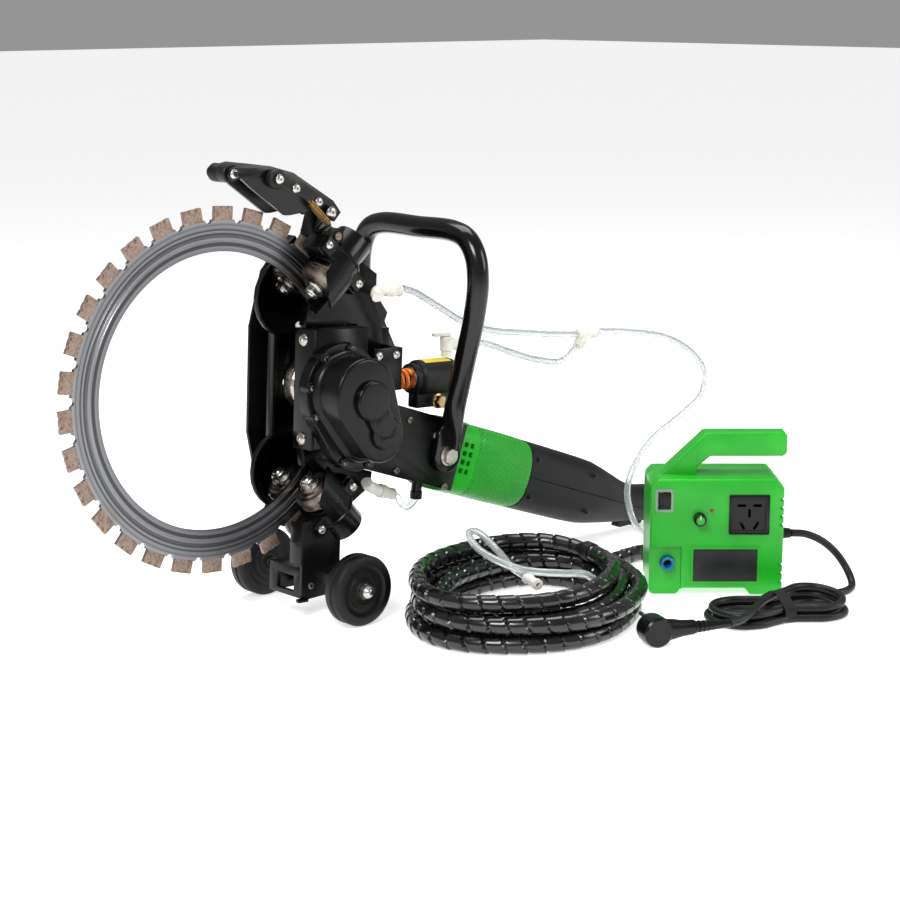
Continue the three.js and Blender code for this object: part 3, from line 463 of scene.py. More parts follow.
screw_model = socket_screw("screw_model")
nut_model = hex_bolt("nut_model", 13, 7.5, 9.6, 9.2)
bolt_model = hex_bolt("bolt_model", 17, 6.5, 11.5)


def screws(name, model, place, body, spots, material=None, size=1.0):
    """Copies of one screw or nut at (position, direction) spots of a frame."""
    for number, (position, direction) in enumerate(spots):
        one = copied(model, f"{name}_{number + 1}")
        moved(one, Matrix.Scale(size, 4))
        pointed(one, direction, position)
        laid(one, place, material or zinc, body, "steel", angle=28)

# ---------------------------------------------------------------- hoses and leads
# What lies on the ground is placed from the middle of the layout.
LAYOUT = Matrix.Translation((0.016, -0.003, 0))
HOSE, WRAP, LEAD = 4, 10, 4.5


def in_frame(line, place=LAYOUT):
    return [place @ (Vector(p) * 0.001) for p in line]


def hose(name, points, body="frame", steps=60, bore=2.6):
    """A clear hose with a wall, bore and square-cut ends."""
    line, _ = smooth_line(points, steps)
    outer = along_line(name, line, lambda i, share: circle(HOSE, 24), closed_ends=False)
    inner = along_line(name + "_bore", line, lambda i, share: circle(bore, 24), closed_ends=False)
    inner.data.flip_normals()
    joined(outer, inner)
    bpy.ops.object.mode_set(mode="EDIT")
    bpy.ops.mesh.select_all(action="DESELECT")
    bpy.ops.mesh.select_non_manifold()
    bpy.ops.mesh.bridge_edge_loops(type="PAIRS")
    bpy.ops.object.mode_set(mode="OBJECT")
    return outer, in_frame(line)


ROUTES = {
    "upper_hose": [(-47.5, 74, 360.6), (-30, 74, 355), (5, 75, 336), (50, 77, 312), (95, 79, 297), (150, 81, 288),
                   (205, 82, 280), (243, 82, 276)],
    "branch_hose": [(97, 112, 279), (120, 110, 274), (150, 102, 262), (185, 88, 250), (216, 82, 246),
                    (235, 82, 254.6), (243, 82, 260.2)],
    "main_hose": [(281, 82, 276), (300, 81, 274), (340, 78, 269), (400, 73, 256), (444, 69, 232), (466, 67, 206),
                  (462, 66, 178), (424, 66, 155), (372, 66, 132), (338, 66, 104), (322, 65, 74), (324, 62, 44),
                  (336, 58, 18), (346, 44, 6), (348, 22, 4.4), (343, 4, 5), (335, -8, 8), (326, -13.5, 10.3)],
    "bundle_hose": [(22, -166, 56), (4, -166, 66), (-22, -160, 70), (-60, -130, 76), (-74, -84, 90),
                    (-58, -48, 100), (-36, -40, 96), (-32, -66, 80), (-46, -105, 70), (-54, -135, 67)],
}
for name, points in ROUTES.items():
    tube_piece, line = hose(name + "_clear", points)
    if name == "bundle_hose":
        # The free end carries a plain barbed joiner.
        ahead = Vector(points[-1]) - Vector(points[-2])
        joiner = spun("hose_joiner", [(0, -4), (3.2, -4), (3.2, 2), (6.2, 2), (6.2, 9), (5, 10), (5, 22), (6.2, 23),
                                      (6.2, 27), (2.4, 27), (2.4, 20), (0, 20)], 32)
        pointed(joiner, ahead, points[-1])
        laid(joiner, LAYOUT, white_nylon, "frame", "white_plastic").name
    laid(tube_piece, LAYOUT, clear_pvc, "frame", "clear_tube", name)


def umbilical_line():
    """From the saw's tail over the ground into five loose oval turns in three layers."""
    start = [(442.2, 112, 26), (460, 112, 20), (480, 112, 15.2), (504, 111, 12), (530, 104, 10.4), (550, 82, 10.3),
             (556, 50, 10.3), (544, 16, 10.3), (515, -12, 10.3), (470, -26, 10.3), (420, -28, 10.3),
             (360, -22, 10.3), (310, -12, 10.3), (265, -4, 10.3), (222, -8, 10.3), (178, -22, 10.3), (146, -30, 10.3)]
    turn = math.radians(25)
    # Each layer has its own slight shift, so that its turns cross those below.
    # degrees run, offset outwards, height, shift of the layer
    stops = [(0, 13, 10.3, 0, 0), (300, 13, 10.3, 0, 0), (345, -10, 10.3, 0, 0), (640, -11, 10.3, 0, 0),
             (700, -10, 31, 5, -4), (1000, -10, 31, 5, -4), (1060, 13, 31, 5, -4), (1370, 13, 31, 5, -4),
             (1440, 2, 51.6, -7, 5), (1770, -4, 51.6, -7, 5)]
    coil = []
    for step in range(0, 1771, 12):
        for low, high in zip(stops, stops[1:]):
            if low[0] <= step <= high[0]:
                share = (step - low[0]) / (high[0] - low[0])
                share = share * share * (3 - 2 * share)
                grow, z, dx, dy = (a + (b - a) * share for a, b in zip(low[1:], high[1:]))
                break
        angle = math.radians(8 + step)
        loose = 2.2 * math.sin(3 * angle + 0.6) + 1.6 * math.sin(5 * angle)
        x, y = (138 + grow + loose) * math.cos(angle), (106 + grow + loose) * math.sin(angle)
        coil.append((-2 + dx + x * math.cos(turn) - y * math.sin(turn), -80 + dy + x * math.sin(turn) + y * math.cos(turn), z))
    return start + coil[1:]


def spiral_wrapped(name, points, steps):
    """Spiral wrap: a band 18 mm wide wound round the hose and cable, one edge proud of the next, with a dark gap."""
    line, total = smooth_line(points, steps)

    def section(i, share):
        ring = []
        for k in range(24):
            phase = (share * total / 20.5 + k / 24) % 1.0
            if phase < 0.12:
                radius = 7.8
            else:
                radius = 9.3 + 0.8 * (phase - 0.12) / 0.88
            ring.append((radius * math.cos(2 * math.pi * k / 24), radius * math.sin(2 * math.pi * k / 24)))
        return ring

    return along_line(name, line, section), in_frame(line)


wrapped, line = spiral_wrapped("umbilical_wrap", umbilical_line(), 2900)
laid(wrapped, LAYOUT, wrap_plastic, "frame", "rubber", "umbilical_lead", "umbilical_coil", angle=30)
ahead = line[-1] - line[-6]
cuff = pointed(spun("wrap_cuff", [(0, -6), (10.6, -6), (11.2, -5), (11.2, 8), (9.6, 10), (5, 24), (4.4, 24), (4.4, 12),
                                  (0, 12)], 40), ahead, LAYOUT.inverted() @ line[-1] * 1000)
laid(cuff, LAYOUT, rubber, "frame", "rubber")

# The tail gland where the wrapped lead leaves the rear handle.
tail = pointed(spun("tail_gland", [(0, -6), (15, -6), (16, -4.5), (16, 3), (14.6, 4.5), (14.6, 8), (12.6, 9), (12, 30), (11.4, 34),
                                   (0, 34)], 48), (0.943, 0, -0.332), (439.5, 112, 27))
laid(tail, LAYOUT, rubber, "frame", "rubber")


def mains_line():
    """Down from the pump box to the ground and into a tied hank, whose last run crosses over to the plug."""
    start = [(317.2, -202.5, 65), (332, -212, 63), (350, -224, 53), (363, -236, 37), (367, -249, 19),
             (359, -262, 7), (340, -270, 4.8), (315, -268, 4.8)]
    turn = math.radians(-22.5)
    local = []

    def side(a, bend, height, sign):
        local.append((a, sign * (bend - 13 * math.exp(-(a / 27) ** 2)), height))

    # radius of the fold and height of each turn
    for number, (bend, z) in enumerate(((39.5, 4.8), (29.5, 4.8), (34.5, 14.2))):
        for a in (40, 20, 0, -20, -40):
            side(a, bend, z, 1)
        for k in range(1, 6):
            angle = math.radians(90 + 30 * k)
            local.append((-44 + bend * math.cos(angle), bend * math.sin(angle), z))
        for a in (-40, -20, 0, 20, 40):
            side(a, bend, z, -1)
        after = (29.5, 34.5, 30)[number], (4.8, 14.2, 23.4)[number]
        for k in range(1, 6):
            angle = math.radians(-90 + 30 * k)
            share = k / 6
            reach = bend + (after[0] - bend) * share
            local.append((44 + reach * math.cos(angle), reach * math.sin(angle), z + (after[1] - z) * share))
    local += [(38, 27, 23.6), (18, 16, 23.8), (-8, 2, 23.8), (-34, -20, 23.8), (-54, -38, 21), (-72, -50, 17.6), (-88.6, -54.4, 16.3)]
    c, s = math.cos(turn), math.sin(turn)
    return start + [(209 + a * c - b * s, -273 + a * s + b * c, z) for a, b, z in local]


lead_line, lead_total = smooth_line(mains_line(), 700)
lead = along_line("mains_lead_jacket", lead_line, lambda i, share: circle(LEAD, 16))
laid(lead, LAYOUT, lead_rubber, "frame", "rubber", "mains_lead", "mains_hank")
tie = pushed("hank_tie", [(-28.6, 0.3), (28.6, 0.3), (30.4, 2), (31, 10), (29, 17), (22, 20.4), (9, 28), (-9, 28.6), (-22, 21), (-29, 17), (-31, 10), (-30.4, 2)], -7, 7, 0)
hollow = pushed("tie_hollow", [(-27.6, 0.9), (27.6, 0.9), (29.2, 2.6), (29.8, 10), (28, 16.2), (21.4, 19.4), (8.6, 27), (-8.6, 27.6), (-21.4, 20), (-28, 16.2), (-29.8, 10), (-29.2, 2.6)], -9, 9, 0)
cut(tie, hollow)
moved(tie, Matrix.Translation((209, -273, 0)) @ Matrix.Rotation(math.radians(-22.5 + 90), 4, "Z"))
laid(tie, LAYOUT, rubber, "frame", "rubber")


def mains_plug():
    """A round-headed right-angle plug with two round pins, a grip waist and a ribbed strain relief."""
    head = spun("mains_plug_body", [(0, -15.6), (14.5, -15.6), (16.4, -13.8), (17, -10), (17, 6), (16.2, 10), (13.4, 12.4), (13.4, 15),
                                    (0, 15)], 64)
    moved(head, Matrix.Rotation(math.radians(90), 4, "X"))
    neck = lofted("neck", [[(x, y * w, -5.5 + z * h) for y, z in circle(1, 28)] for x, w, h in
                           ((6, 13, 9), (20, 11.5, 8.4), (30, 9.4, 7.6), (40, 8.6, 7.2), (45, 8.2, 7))])
    fused(head, neck)
    parts = [head]
    for k in range(7):
        size = 7.2 - 0.36 * k
        parts.append(lofted("rib", [[(x, y * r, -6 + z * r) for y, z in circle(1, 24)] for x, r in
                                    ((44 + 5.4 * k, size - 1), (44.6 + 5.4 * k, size), (47 + 5.4 * k, size - 0.1),
                                     (47.6 + 5.4 * k, size - 1))]))
    parts.append(lofted("relief", [[(x, y * r, -6 + z * r) for y, z in circle(1, 24)] for x, r in
                                   ((42, 6), (60, 5.6), (80, 5.1), (88, 4.9))]))
    joined(*parts)
    pins = [spun("pin", [(0, 0), (2.4, 0), (2.4, 17), (1.6, 19), (0, 19)], 20) for _ in range(2)]
    for pin, y in zip(pins, (-9.5, 9.5)):
        moved(pin, Matrix.Translation((-1, y, 14.8)) @ Matrix.Rotation(math.radians(90), 4, "X"))
    pins = joined(*pins)
    place = LAYOUT @ Matrix.Translation((0.027, -0.25, 0.0163)) @ Matrix.Rotation(math.radians(-22.5), 4, "Z")
    place = place @ Matrix.Rotation(math.radians(-90), 4, "X")
    laid(head, place, smooth_abs, "frame", "rubber", "mains_plug")
    laid(pins, place, zinc, "frame", "steel").name = "mains_plug_pins"
    return [head.name, "mains_plug_pins"]


mains_plug() + [tie.name]


# ---------------------------------------------------------------- ring
def ring():
    profile = [(RING_INNER, -1.7), (RING_INNER + 0.5, -2.1)]
    for groove in (163.5, 167.5, 172):
        profile += [(groove - 0.8, -2.1), (groove - 0.4, -1.6), (groove + 0.4, -1.6), (groove + 0.8, -2.1)]
    profile.append((CORE_OUTER, -2.1))
    core = spun("ring_core", profile + [(r, -y) for r, y in reversed(profile)], 180, ring=True)
    gullet = rod("gullet", 4.6, -5, 5, 20)
    gullets = []
    for k in range(30):
        angle = math.radians(5.2 + 12 * k + 6)
        gullets.append(set_down(copied(gullet, f"gullet_{k}"), (CORE_OUTER + 0.6) * math.cos(angle),
                                (CORE_OUTER + 0.6) * math.sin(angle)))
    bpy.data.objects.remove(gullet)
    cut(core, *gullets)
    laid(core, SAW, round_steel, "ring", "ring_steel", "ring_blade", angle=25)
    segment = brick("segment", 184.6, RING_OUTER, -2.4, 2.4, -12, 12, 0.35, 2)
    notches = []
    for z in (-4.6, 4.8):
        for y in (-2.5, 2.5):
            notches.append(set_down(rod("notch", 1.9, -1.2, 1.2, 12), 199.2, z, y))
    cut(segment, *notches)
    copies = []
    for k in range(30):
        one = copied(segment, f"segment_{k + 1}")
        moved(one, Matrix.Rotation(-math.radians(5.2 + 12 * k), 4, "Y"))
        copies.append(one)
    bpy.data.objects.remove(segment)
    laid(joined(*copies), SAW, segment_metal, "ring", "ring_steel", angle=28).name = "ring_segments"


ring()

# ---------------------------------------------------------------- guide rollers and housings
CORNERS = [("upper_near", 1, -1), ("upper_far", 1, 1), ("lower_near", -1, -1), ("lower_far", -1, 1)]


def radial(up):
    angle = math.radians(ROLLER_ANGLE * up)
    return Vector((math.cos(angle), 0, math.sin(angle)))


def across(up):
    """Turns what is placed by distance along a roller's line and offset across it."""
    return Matrix.Rotation(-math.radians(ROLLER_ANGLE * up), 4, "Y")


def housing_room(up, side, radius=HOUSING_RADIUS + 0.3, low=178, high=245):
    return pointed(rod("room", radius, low, high, 48), radial(up), (0, side * ROLLER_SIDE, 0))


def ring_room():
    return spun("ring_room", [(146, -6), (205, -6), (205, 6), (146, 6)], 96, ring=True)


for corner, up, side in CORNERS:
    roller = spun(f"roller_{corner}", [
        (0, 155.8), (11, 155.8), (12, 157.4), (16, 158), (17, 159.6), (20.6, 160.6), (ROLLER_RADIUS - 0.6, 164.2),
        (ROLLER_RADIUS, 165), (ROLLER_RADIUS, 167.4), (23.7, 168), (23.7, 169), (ROLLER_RADIUS, 169.6),
        (ROLLER_RADIUS, 172), (23.9, 172.5), (23.9, 173.4), (ROLLER_RADIUS, 174), (ROLLER_RADIUS - 0.6, 176),
        (19, 177.6), (10, 178.4), (10, 226), (0, 226)], 72)
    pointed(roller, radial(up), (0, side * ROLLER_SIDE, 0))
    laid(roller, SAW, worn_steel, f"roller_{corner}", "steel", f"guide_roller_{corner}", angle=24)
    screws(f"roller_nut_{corner}", nut_model, SAW, f"roller_{corner}",
           [(radial(up) * 156.2 + Vector((0, side * ROLLER_SIDE, 0)), -radial(up))], zinc, 1.22)

for place, up in (("upper", 1), ("lower", -1)):
    housing = spun(f"housing_{place}", [
        (0, 227), (10.4, 227), (10.4, HOUSING_START), (HOUSING_RADIUS - 0.6, HOUSING_START),
        (HOUSING_RADIUS, HOUSING_START + 0.6), (HOUSING_RADIUS, HOUSING_END - 1.8), (HOUSING_RADIUS - 0.6, HOUSING_END - 0.5),
        (HOUSING_RADIUS - 2, HOUSING_END), (17.5, HOUSING_END), (16.6, HOUSING_END - 0.8), (0, HOUSING_END - 0.8)], 72)
    pointed(housing, radial(up), (0, -ROLLER_SIDE, 0))
    laid(housing, SAW, enamel, "frame", "black_casting", f"roller_housing_{place}_near")

    band = pointed(spun("band", [(0, 186), (26.1, 186), (26.6, 186.6), (26.6, 189), (25.6, 189.8), (25.6, 200.2),
                                 (26.6, 201), (26.6, 203.4), (26.1, 204), (0, 204)], 72), (1, 0, 0), (0, -ROLLER_SIDE, 0))
    applied(band, "BOOLEAN", object=brick("keep", 180, 210, -60, -36.3, -40, 40, 0), operation="INTERSECT",
            solver="EXACT")
    bpy.data.objects.remove(bpy.data.objects["keep"])
    fused(band, pushed("ear", [(186.2, -36.6), (203.8, -36.6), (203.8, 36.6), (186.2, 36.6)], -41.6, -36.4, 0.8))
    moved(band, across(up))
    cut(band, housing_room(up, -1))
    laid(band, SAW, enamel, "frame", "black_casting", f"clamp_cap_{place}").name = f"clamp_band_{place}"
    screws(f"clamp_screw_{place}", screw_model, SAW, "frame",
           [(across(up) @ Vector((195, -41.7, z)), (0, -1, 0)) for z in (-31, 31)])


    # A half shield in front of the roller, cast with its housing, that ends in a slanted tip near the ring.
    arcs = [math.radians(a) for a in range(-128, 47, 6)]
    loops = []
    for outer in (True, False):
        rows = []
        for share in (0, 0.2, 0.4, 0.6, 0.8, 1):
            row = []
            for a in arcs:
                lean = (a - arcs[0]) / (arcs[-1] - arcs[0])
                low = 168 - 22 * math.sin(math.pi * min(lean * 1.25, 1))
                r = 28.6 if outer else 26
                row.append((low + (186.5 - low) * share, -ROLLER_SIDE + r * math.sin(a), -up * r * math.cos(a)))
            rows.append(row)
        loops.append(rows)
    rows = [out + ins[::-1] for out, ins in zip(*loops)]
    laid(moved(lofted(f"roller_shield_{place}", rows), across(up)), SAW, enamel, "frame", "black_casting")

# Small rubber guide wheel beside the upper housing, on its stud.
guide = spun("small_guide_wheel", [(2.6, -42), (5, -42.6), (5.6, -41), (7.2, -41), (7.8, -42), (8.6, -41.6), (9, -40), (9, -33), (8.4, -31.6), (2.6, -31.6)], 40,
             ring=True)
laid(set_down(guide, 128, 168), SAW, rubber, "frame", "rubber")
stud = fused(rod("guide_wheel_stud", 4, -43, -10, 24, 0.4), rod("stud_head", 4.6, -44.6, -42.4, 24, 0.6))
laid(set_down(stud, 128, 168), SAW, worn_steel, "frame", "steel")

# ---------------------------------------------------------------- castings that keep the solids' shape
def refined(name, material, width=0.9, angle=30, slot="black_casting", body="frame"):
    """A casting with the solid's own shape, its facets merged and its edges rounded."""
    source = NODES[name]
    piece = copied(source, name + "_casting")
    alone(piece)
    bpy.ops.object.mode_set(mode="EDIT")
    bpy.ops.mesh.select_all(action="SELECT")
    bpy.ops.mesh.remove_doubles(threshold=0.00001)
    bpy.ops.mesh.dissolve_limited(angle_limit=math.radians(1.5))
    bpy.ops.object.mode_set(mode="OBJECT")
    eased(piece, width / 1000, 2, angle)
    moved(piece, Matrix.Scale(1000, 4))
    return laid(piece, GROUND, material, body, slot, name, angle=38)


for name in ("roller_frame_upper", "roller_frame_lower", "far_cover", "gearbox_case", "axle_bracket"):
    refined(name, enamel)
refined("guard_arm", smooth_abs, 0.7, slot="black_plastic", body="arm")


def hull(circles, shrink=0.0, count=96):
    """The outline round some circles (x, z, radius), one point for each direction."""
    points = []
    for k in range(count):
        d = (math.cos(2 * math.pi * k / count), math.sin(2 * math.pi * k / count))
        x, z, r = max(circles, key=lambda c: c[0] * d[0] + c[1] * d[1] + c[2])
        points.append((x + (r - shrink) * d[0], z + (r - shrink) * d[1]))
    return points


def shouldered(name, circles, low, high, shoulder, draft=0.0, foot=0.0):
    """A cast boss that stands from low to high (towards -Y) with a rounded shoulder and a flared foot."""
    levels = [(low, -foot), (low - foot, 0)] if foot else [(low, 0)]
    levels += [(high + shoulder, draft)]
    for k in range(1, 6):
        turn = math.radians(18 * k)
        levels.append((high + shoulder * (1 - math.sin(turn)), draft + shoulder * (1 - math.cos(turn))))
    return lofted(name, [[(x, y, z) for x, z in hull(circles, shrink)] for y, shrink in levels])


# Gear cover: a bolted flange, a round drum, a dome over both shafts and a raised figure of eight.
cover = shouldered("gear_cover_casting", [(*DRIVE, 52), (*LAYSHAFT, 46)], -46.3, -61, 1.6)
fused(cover, shouldered("drum", [(*DRIVE, 46.5), (*LAYSHAFT, 37)], -55, -72, 9, 0.6),
      shouldered("dome", [(*DRIVE, 41.5), (*LAYSHAFT, 31)], -60, -101.5, 4, 0.4))
plateau = shouldered("plateau", [(133, -6, 24)], -90, -108, 3, 1.5)
fused(plateau, shouldered("lobe", [(154, -43, 21)], -90, -107.4, 3, 1.5),
      shouldered("waist", [(138, -17, 17), (149, -34, 17)], -90, -107.8, 3, 1.5))
fused(cover, plateau)
COVER_SCREWS = [(127 + 47 * math.cos(math.radians(a)), 47 * math.sin(math.radians(a))) for a in (35, 80, 127, 172, 214)]
COVER_SCREWS += [(152 + 41 * math.cos(math.radians(a)), -46.7 + 41 * math.sin(math.radians(a))) for a in (238, 290, 345)]
fused(cover, *[shouldered(f"boss_{k}", [(x, z, 6.6)], -50, -64, 1.2, 0.3) for k, (x, z) in enumerate(COVER_SCREWS)])
laid(cover, SAW, enamel, "frame", "black_casting", "gear_cover", angle=40)
screws("cover_screw", screw_model, SAW, "frame", [((x, -64, z), (0, -1, 0)) for x, z in COVER_SCREWS], worn_steel, 0.75)

# Far plate: a raised panel with pressed ribs, and screws round its edge.
panel = pushed("far_panel", [(93, -50), (93, 50), (112, 112), (129, 134), (194, 147), (240, 106), (250, 60), (250, -58), (220, -112), (184, -144),
                             (129, -134), (112, -112)], 58.4, 60.4, 1.2, 3)
ribs = [pushed("rib", hull([(x, -70 + drop, 3.2), (x, 70 - drop, 3.2)]), 59, 62.4, 1.2, 2) for x, drop in ((160, 0), (180, 6), (200, 12))]
through = rod("through", 6, 50, 70, 32)
panel = cut(fused(panel, *ribs), set_down(through, 139, -7))
laid(panel, SAW, enamel, "frame", "black_casting")
screws("far_screw", screw_model, SAW, "frame",
       [((x, 60.5, z), (0, 1, 0)) for x, z in ((103, 52), (103, -52), (134, 122), (134, -122), (190, 134), (182, -132), (238, 84), (238, -66))],
       zinc, 1.1)
laid(set_down(spun("rubber_bump", [(0, 4), (4.4, 4), (5, 8), (4.6, 12), (3.6, 13.4), (0, 13.8)], 28), 112, 66, -10), SAW, white_nylon, "frame",
     "white_plastic")

# Front strap and side plate with their bolts.
strap = brick("front_strap_plate", 93.5, 98.6, -47, -15, -67, 67, 1.2, 3)
laid(strap, SAW, enamel, "frame", "black_casting", "front_strap")
screws("strap_bolt", screw_model, SAW, "frame", [((93.6, -31, z), (-1, 0, 0)) for z in (-55, 55)], turned_steel, 1.5)
plate = fused(brick("side_plate_bracket", 181, 223, -48.4, -44.4, -8, 41, 1),
              brick("lip", 217, 223, -45, -20.4, -6, 41, 1))
laid(plate, SAW, enamel, "frame", "black_casting", "side_plate")
screws("side_screw", screw_model, SAW, "frame", [((x, -48.5, z), (0, -1, 0)) for x, z in ((188, 33), (213, 33), (188, 0))])
screws("case_screw", screw_model, SAW, "frame",
       [((x, -46.4, z), (0, -1, 0)) for x, z in ((280, -66), (296, -128), (212, -32), (239, -44), (221, -101))], worn_steel, 0.9)


# ---------------------------------------------------------------- motor body
def oval(u, half, power=4.0, rise=0.0, sides=72, bow=0.0):
    """A rounded square section of the motor body; bow moves the sides back along the motor."""
    points = []
    for k in range(sides):
        c, s = math.cos(2 * math.pi * k / sides), math.sin(2 * math.pi * k / sides)
        reach = half / (abs(c) ** power + abs(s) ** power) ** (1 / power)
        points.append((u + bow * abs(c) ** 1.6, reach * c, rise + reach * s))
    return points


collar = lofted("motor_collar", [oval(174.3, 43), oval(175, 43.8), oval(195.4, 44), oval(196.2, 43.2), oval(206, 43),
                                 oval(206.5, 42.4)])
vents = []
for side in (-1, 1):
    for column, u in enumerate((183, 193)):
        for row in range(4):
            v = 17.5 - 10.5 * row
            vents.append(brick("vent", u - 3.2, u + 3.2, *sorted((side * 36, side * 48)), v - 3, v + 3, 0.8, 1))
for u in (183, 193):
    for y in (-16, -5.5, 5.5, 16):
        vents.append(brick("vent", u - 3.2, u + 3.2, y - 3, y + 3, 36, 48, 0.8, 1))
cut(collar, *vents)
laid(collar, MOTOR, green_abs, "frame", "green_plastic")
sleeve = lofted("motor_sleeve", [oval(207, 42.2), oval(208, 43, bow=1)] +
                [oval(207 + 80 * t, 43 + 0.4 * math.sin(math.pi * t), bow=13 * t) for t in (0.1, 0.3, 0.5, 0.7, 0.9, 0.97)] +
                [oval(287.6, 42.4, bow=13.2)])
laid(sleeve, MOTOR, netted_green, "frame", "green_plastic", "motor_housing")

REAR = [(288.6, 42.2, 4, 13), (289.6, 42.8, 4, 13), (320, 42.6, 4, 6), (360, 42.2, 4, 0), (400, 41.6, 4, 0), (424, 40.6, 3.8, 0),
        (446, 37.6, 3.4, 0), (470, 33.6, 3, 0), (496, 28.8, 2.7, 0), (520, 25, 2.5, 0), (545, 23.6, 2.4, 0),
        (570, 24.4, 2.4, 0), (590, 27, 2.4, 0), (597, 27.4, 2.4, 0), (599.4, 26.2, 2.4, 0)]
rear = lofted("rear_body", [oval(u, half, power, max(0, u - 514) * 0.18, bow=bow) for u, half, power, bow in REAR])
cut(rear, brick("trigger_window", 518, 566, -7, 7, -45, 4, 0), *[
    brick("exhaust", 392 + 8 * k, 396 + 8 * k, *sorted((side * 37, side * 50)), -22, 22, 0.8, 1)
    for k in range(5) for side in (1,)])
# The two halves meet in a shallow groove along both sides.
cut(rear, brick("parting", 292, 598, -60, -20, -0.45, 0.35, 0), brick("parting", 292, 598, 20, 60, -0.45, 0.35, 0))
laid(rear, MOTOR, black_abs, "frame", "black_plastic", "rear_shell_upper", "rear_shell_lower", angle=28)
screws("body_screw", screw_model, MOTOR, "frame",
       [((u, side * 42.2, v), (0, side, 0)) for u in (310, 415) for side in (-1, 1) for v in (-24, 24)], smooth_abs, 0.7)
trigger = pushed("trigger_paddle", [(519, -16), (564, -8), (564, -18), (556, -23), (542, -25), (526, -31), (519, -31)], -6, 6, 1.6, 3)
laid(trigger, MOTOR, rubber, "trigger", "rubber", "trigger")

# ---------------------------------------------------------------- bail handle
bx, bz = BAIL_BOLT
near = [(bx - 1, -52, bz + 14), (bx - 1, -58, bz + 32), (bx - 3, -66, bz + 62), (bx - 7, -84, bz + 118), (bx - 9, -98, bz + 168), (bx - 10, -103, bz + 206),
        (bx - 11, -98, bz + 236), (bx - 12, -84, bz + 254), (bx - 12, -62, bz + 261)]
loop = near + [(bx - 12, 0, bz + 261.5)] + [(x, -y, z) for x, y, z in reversed(near)]
bar_line, _ = smooth_line(loop, 150)


def flattened(i, share):
    """The tube is pressed flat where it meets the bolts."""
    end = min(i, len(bar_line) - 1 - i) / 13
    flat = min(end, 1.0)
    flat = flat * flat * (3 - 2 * flat)
    wide, thin = 19.5 + (12.5 - 19.5) * flat, 4.2 + (12.5 - 4.2) * flat
    return [(wide * a, thin * b) for a, b in circle(1, 28)]


bar = along_line("bail_tube", bar_line, flattened)
tabs = [pushed("tab", hull([(bx, bz, 20), (bx, bz + 20, 17)]), low, low + 7.6, 1.6, 3) for low in (-54.2, 46.6)]
bar = joined(bar, *tabs)
laid(bar, SAW, tube_enamel, "frame", "black_casting", "bail_handle", angle=50)
screws("bail_bolt", bolt_model, SAW, "frame", [((bx, side * 54.3, bz), (0, side, 0)) for side in (-1, 1)], turned_steel, 1.05)

# ---------------------------------------------------------------- guard arm's rollers, spring and screws
ax, az = ARM_PIVOT
end_roller = spun("arm_end_roller_turned", [(0, -24), (3, -24), (3, -14.8), (9, -14.8), (10, -13.8), (10, -2), (9.4, -1), (9.4, 1), (10, 2), (10, 13.8),
                                            (9, 14.8), (3, 14.8), (3, 24), (0, 24)], 48)
laid(set_down(end_roller, *END_ROLLER), SAW, rubber, "arm_roller", "rubber", "arm_end_roller")
small_wheel = spun("arm_wheel_turned", [(3.3, -31), (9.6, -31), (10.6, -29.8), (11, -28), (11, -24), (10.4, -21.8), (9.4, -21), (3.3, -21)], 48, ring=True)
laid(set_down(small_wheel, *FRONT_WHEEL), SAW, rubber, "arm_wheel", "rubber", "arm_front_wheel")
screws("arm_screw", screw_model, SAW, "arm",
       [((x, side * 20.1, z), (0, side, 0)) for x, z in ((86, 219), (118, 204)) for side in (-1, 1)] +
       [((2, side * 20.4, 235), (0, side, 0)) for side in (-1, 1)] + [((53, -32.8, 230), (0, -1, 0))], zinc, 1.1)
screws("pivot_screw", screw_model, SAW, "frame", [((ax, side * 25.1, az), (0, side, 0)) for side in (-1, 1)], zinc, 1.3)


def coil_spring(name, radius, wire, start, end, turns, steps=26):
    """A spring along +X, wound at an even pitch; its end turns are not closed."""
    line = []
    for k in range(int(turns * steps) + 1):
        share = k / (turns * steps)
        lead_in = min(share, 1 - share) * turns
        squeeze = min(lead_in, 1.0)
        angle = 2 * math.pi * turns * share
        x = start + (end - start) * (share + (0.5 - share) * 0.0 * squeeze)
        line.append(Vector((x, radius * math.cos(angle), radius * math.sin(angle))))
    return along_line(name, line, lambda i, share: circle(wire, 12))


drop = Vector((31, 0, -27))
arm_coil = coil_spring("arm_spring_wound", 3.4, 0.7, 0, drop.length - 6, 17, 14)
turn = Vector((1, 0, 0)).rotation_difference(drop).to_matrix().to_4x4()
moved(arm_coil, Matrix.Translation((100, -27, 204)) @ turn)
laid(arm_coil, SAW, brass_wire, "arm", "brass_wire", "arm_spring")

# ---------------------------------------------------------------- ring tension spring, cup, tap and elbows
spring = coil_spring("tension_spring_wound", 10.2, 2.2, 229.5, 274, 5.4)
laid(set_down(spring, 0, -5), SAW, orange_wire, "frame", "orange_steel", "tension_spring")


def turned_along_x(name, profile, x, z, y=0, steps=56):
    return moved(spun(name, profile, steps), Matrix.Translation((x, y, z)) @ Matrix.Rotation(math.radians(-90), 4, "Z"))


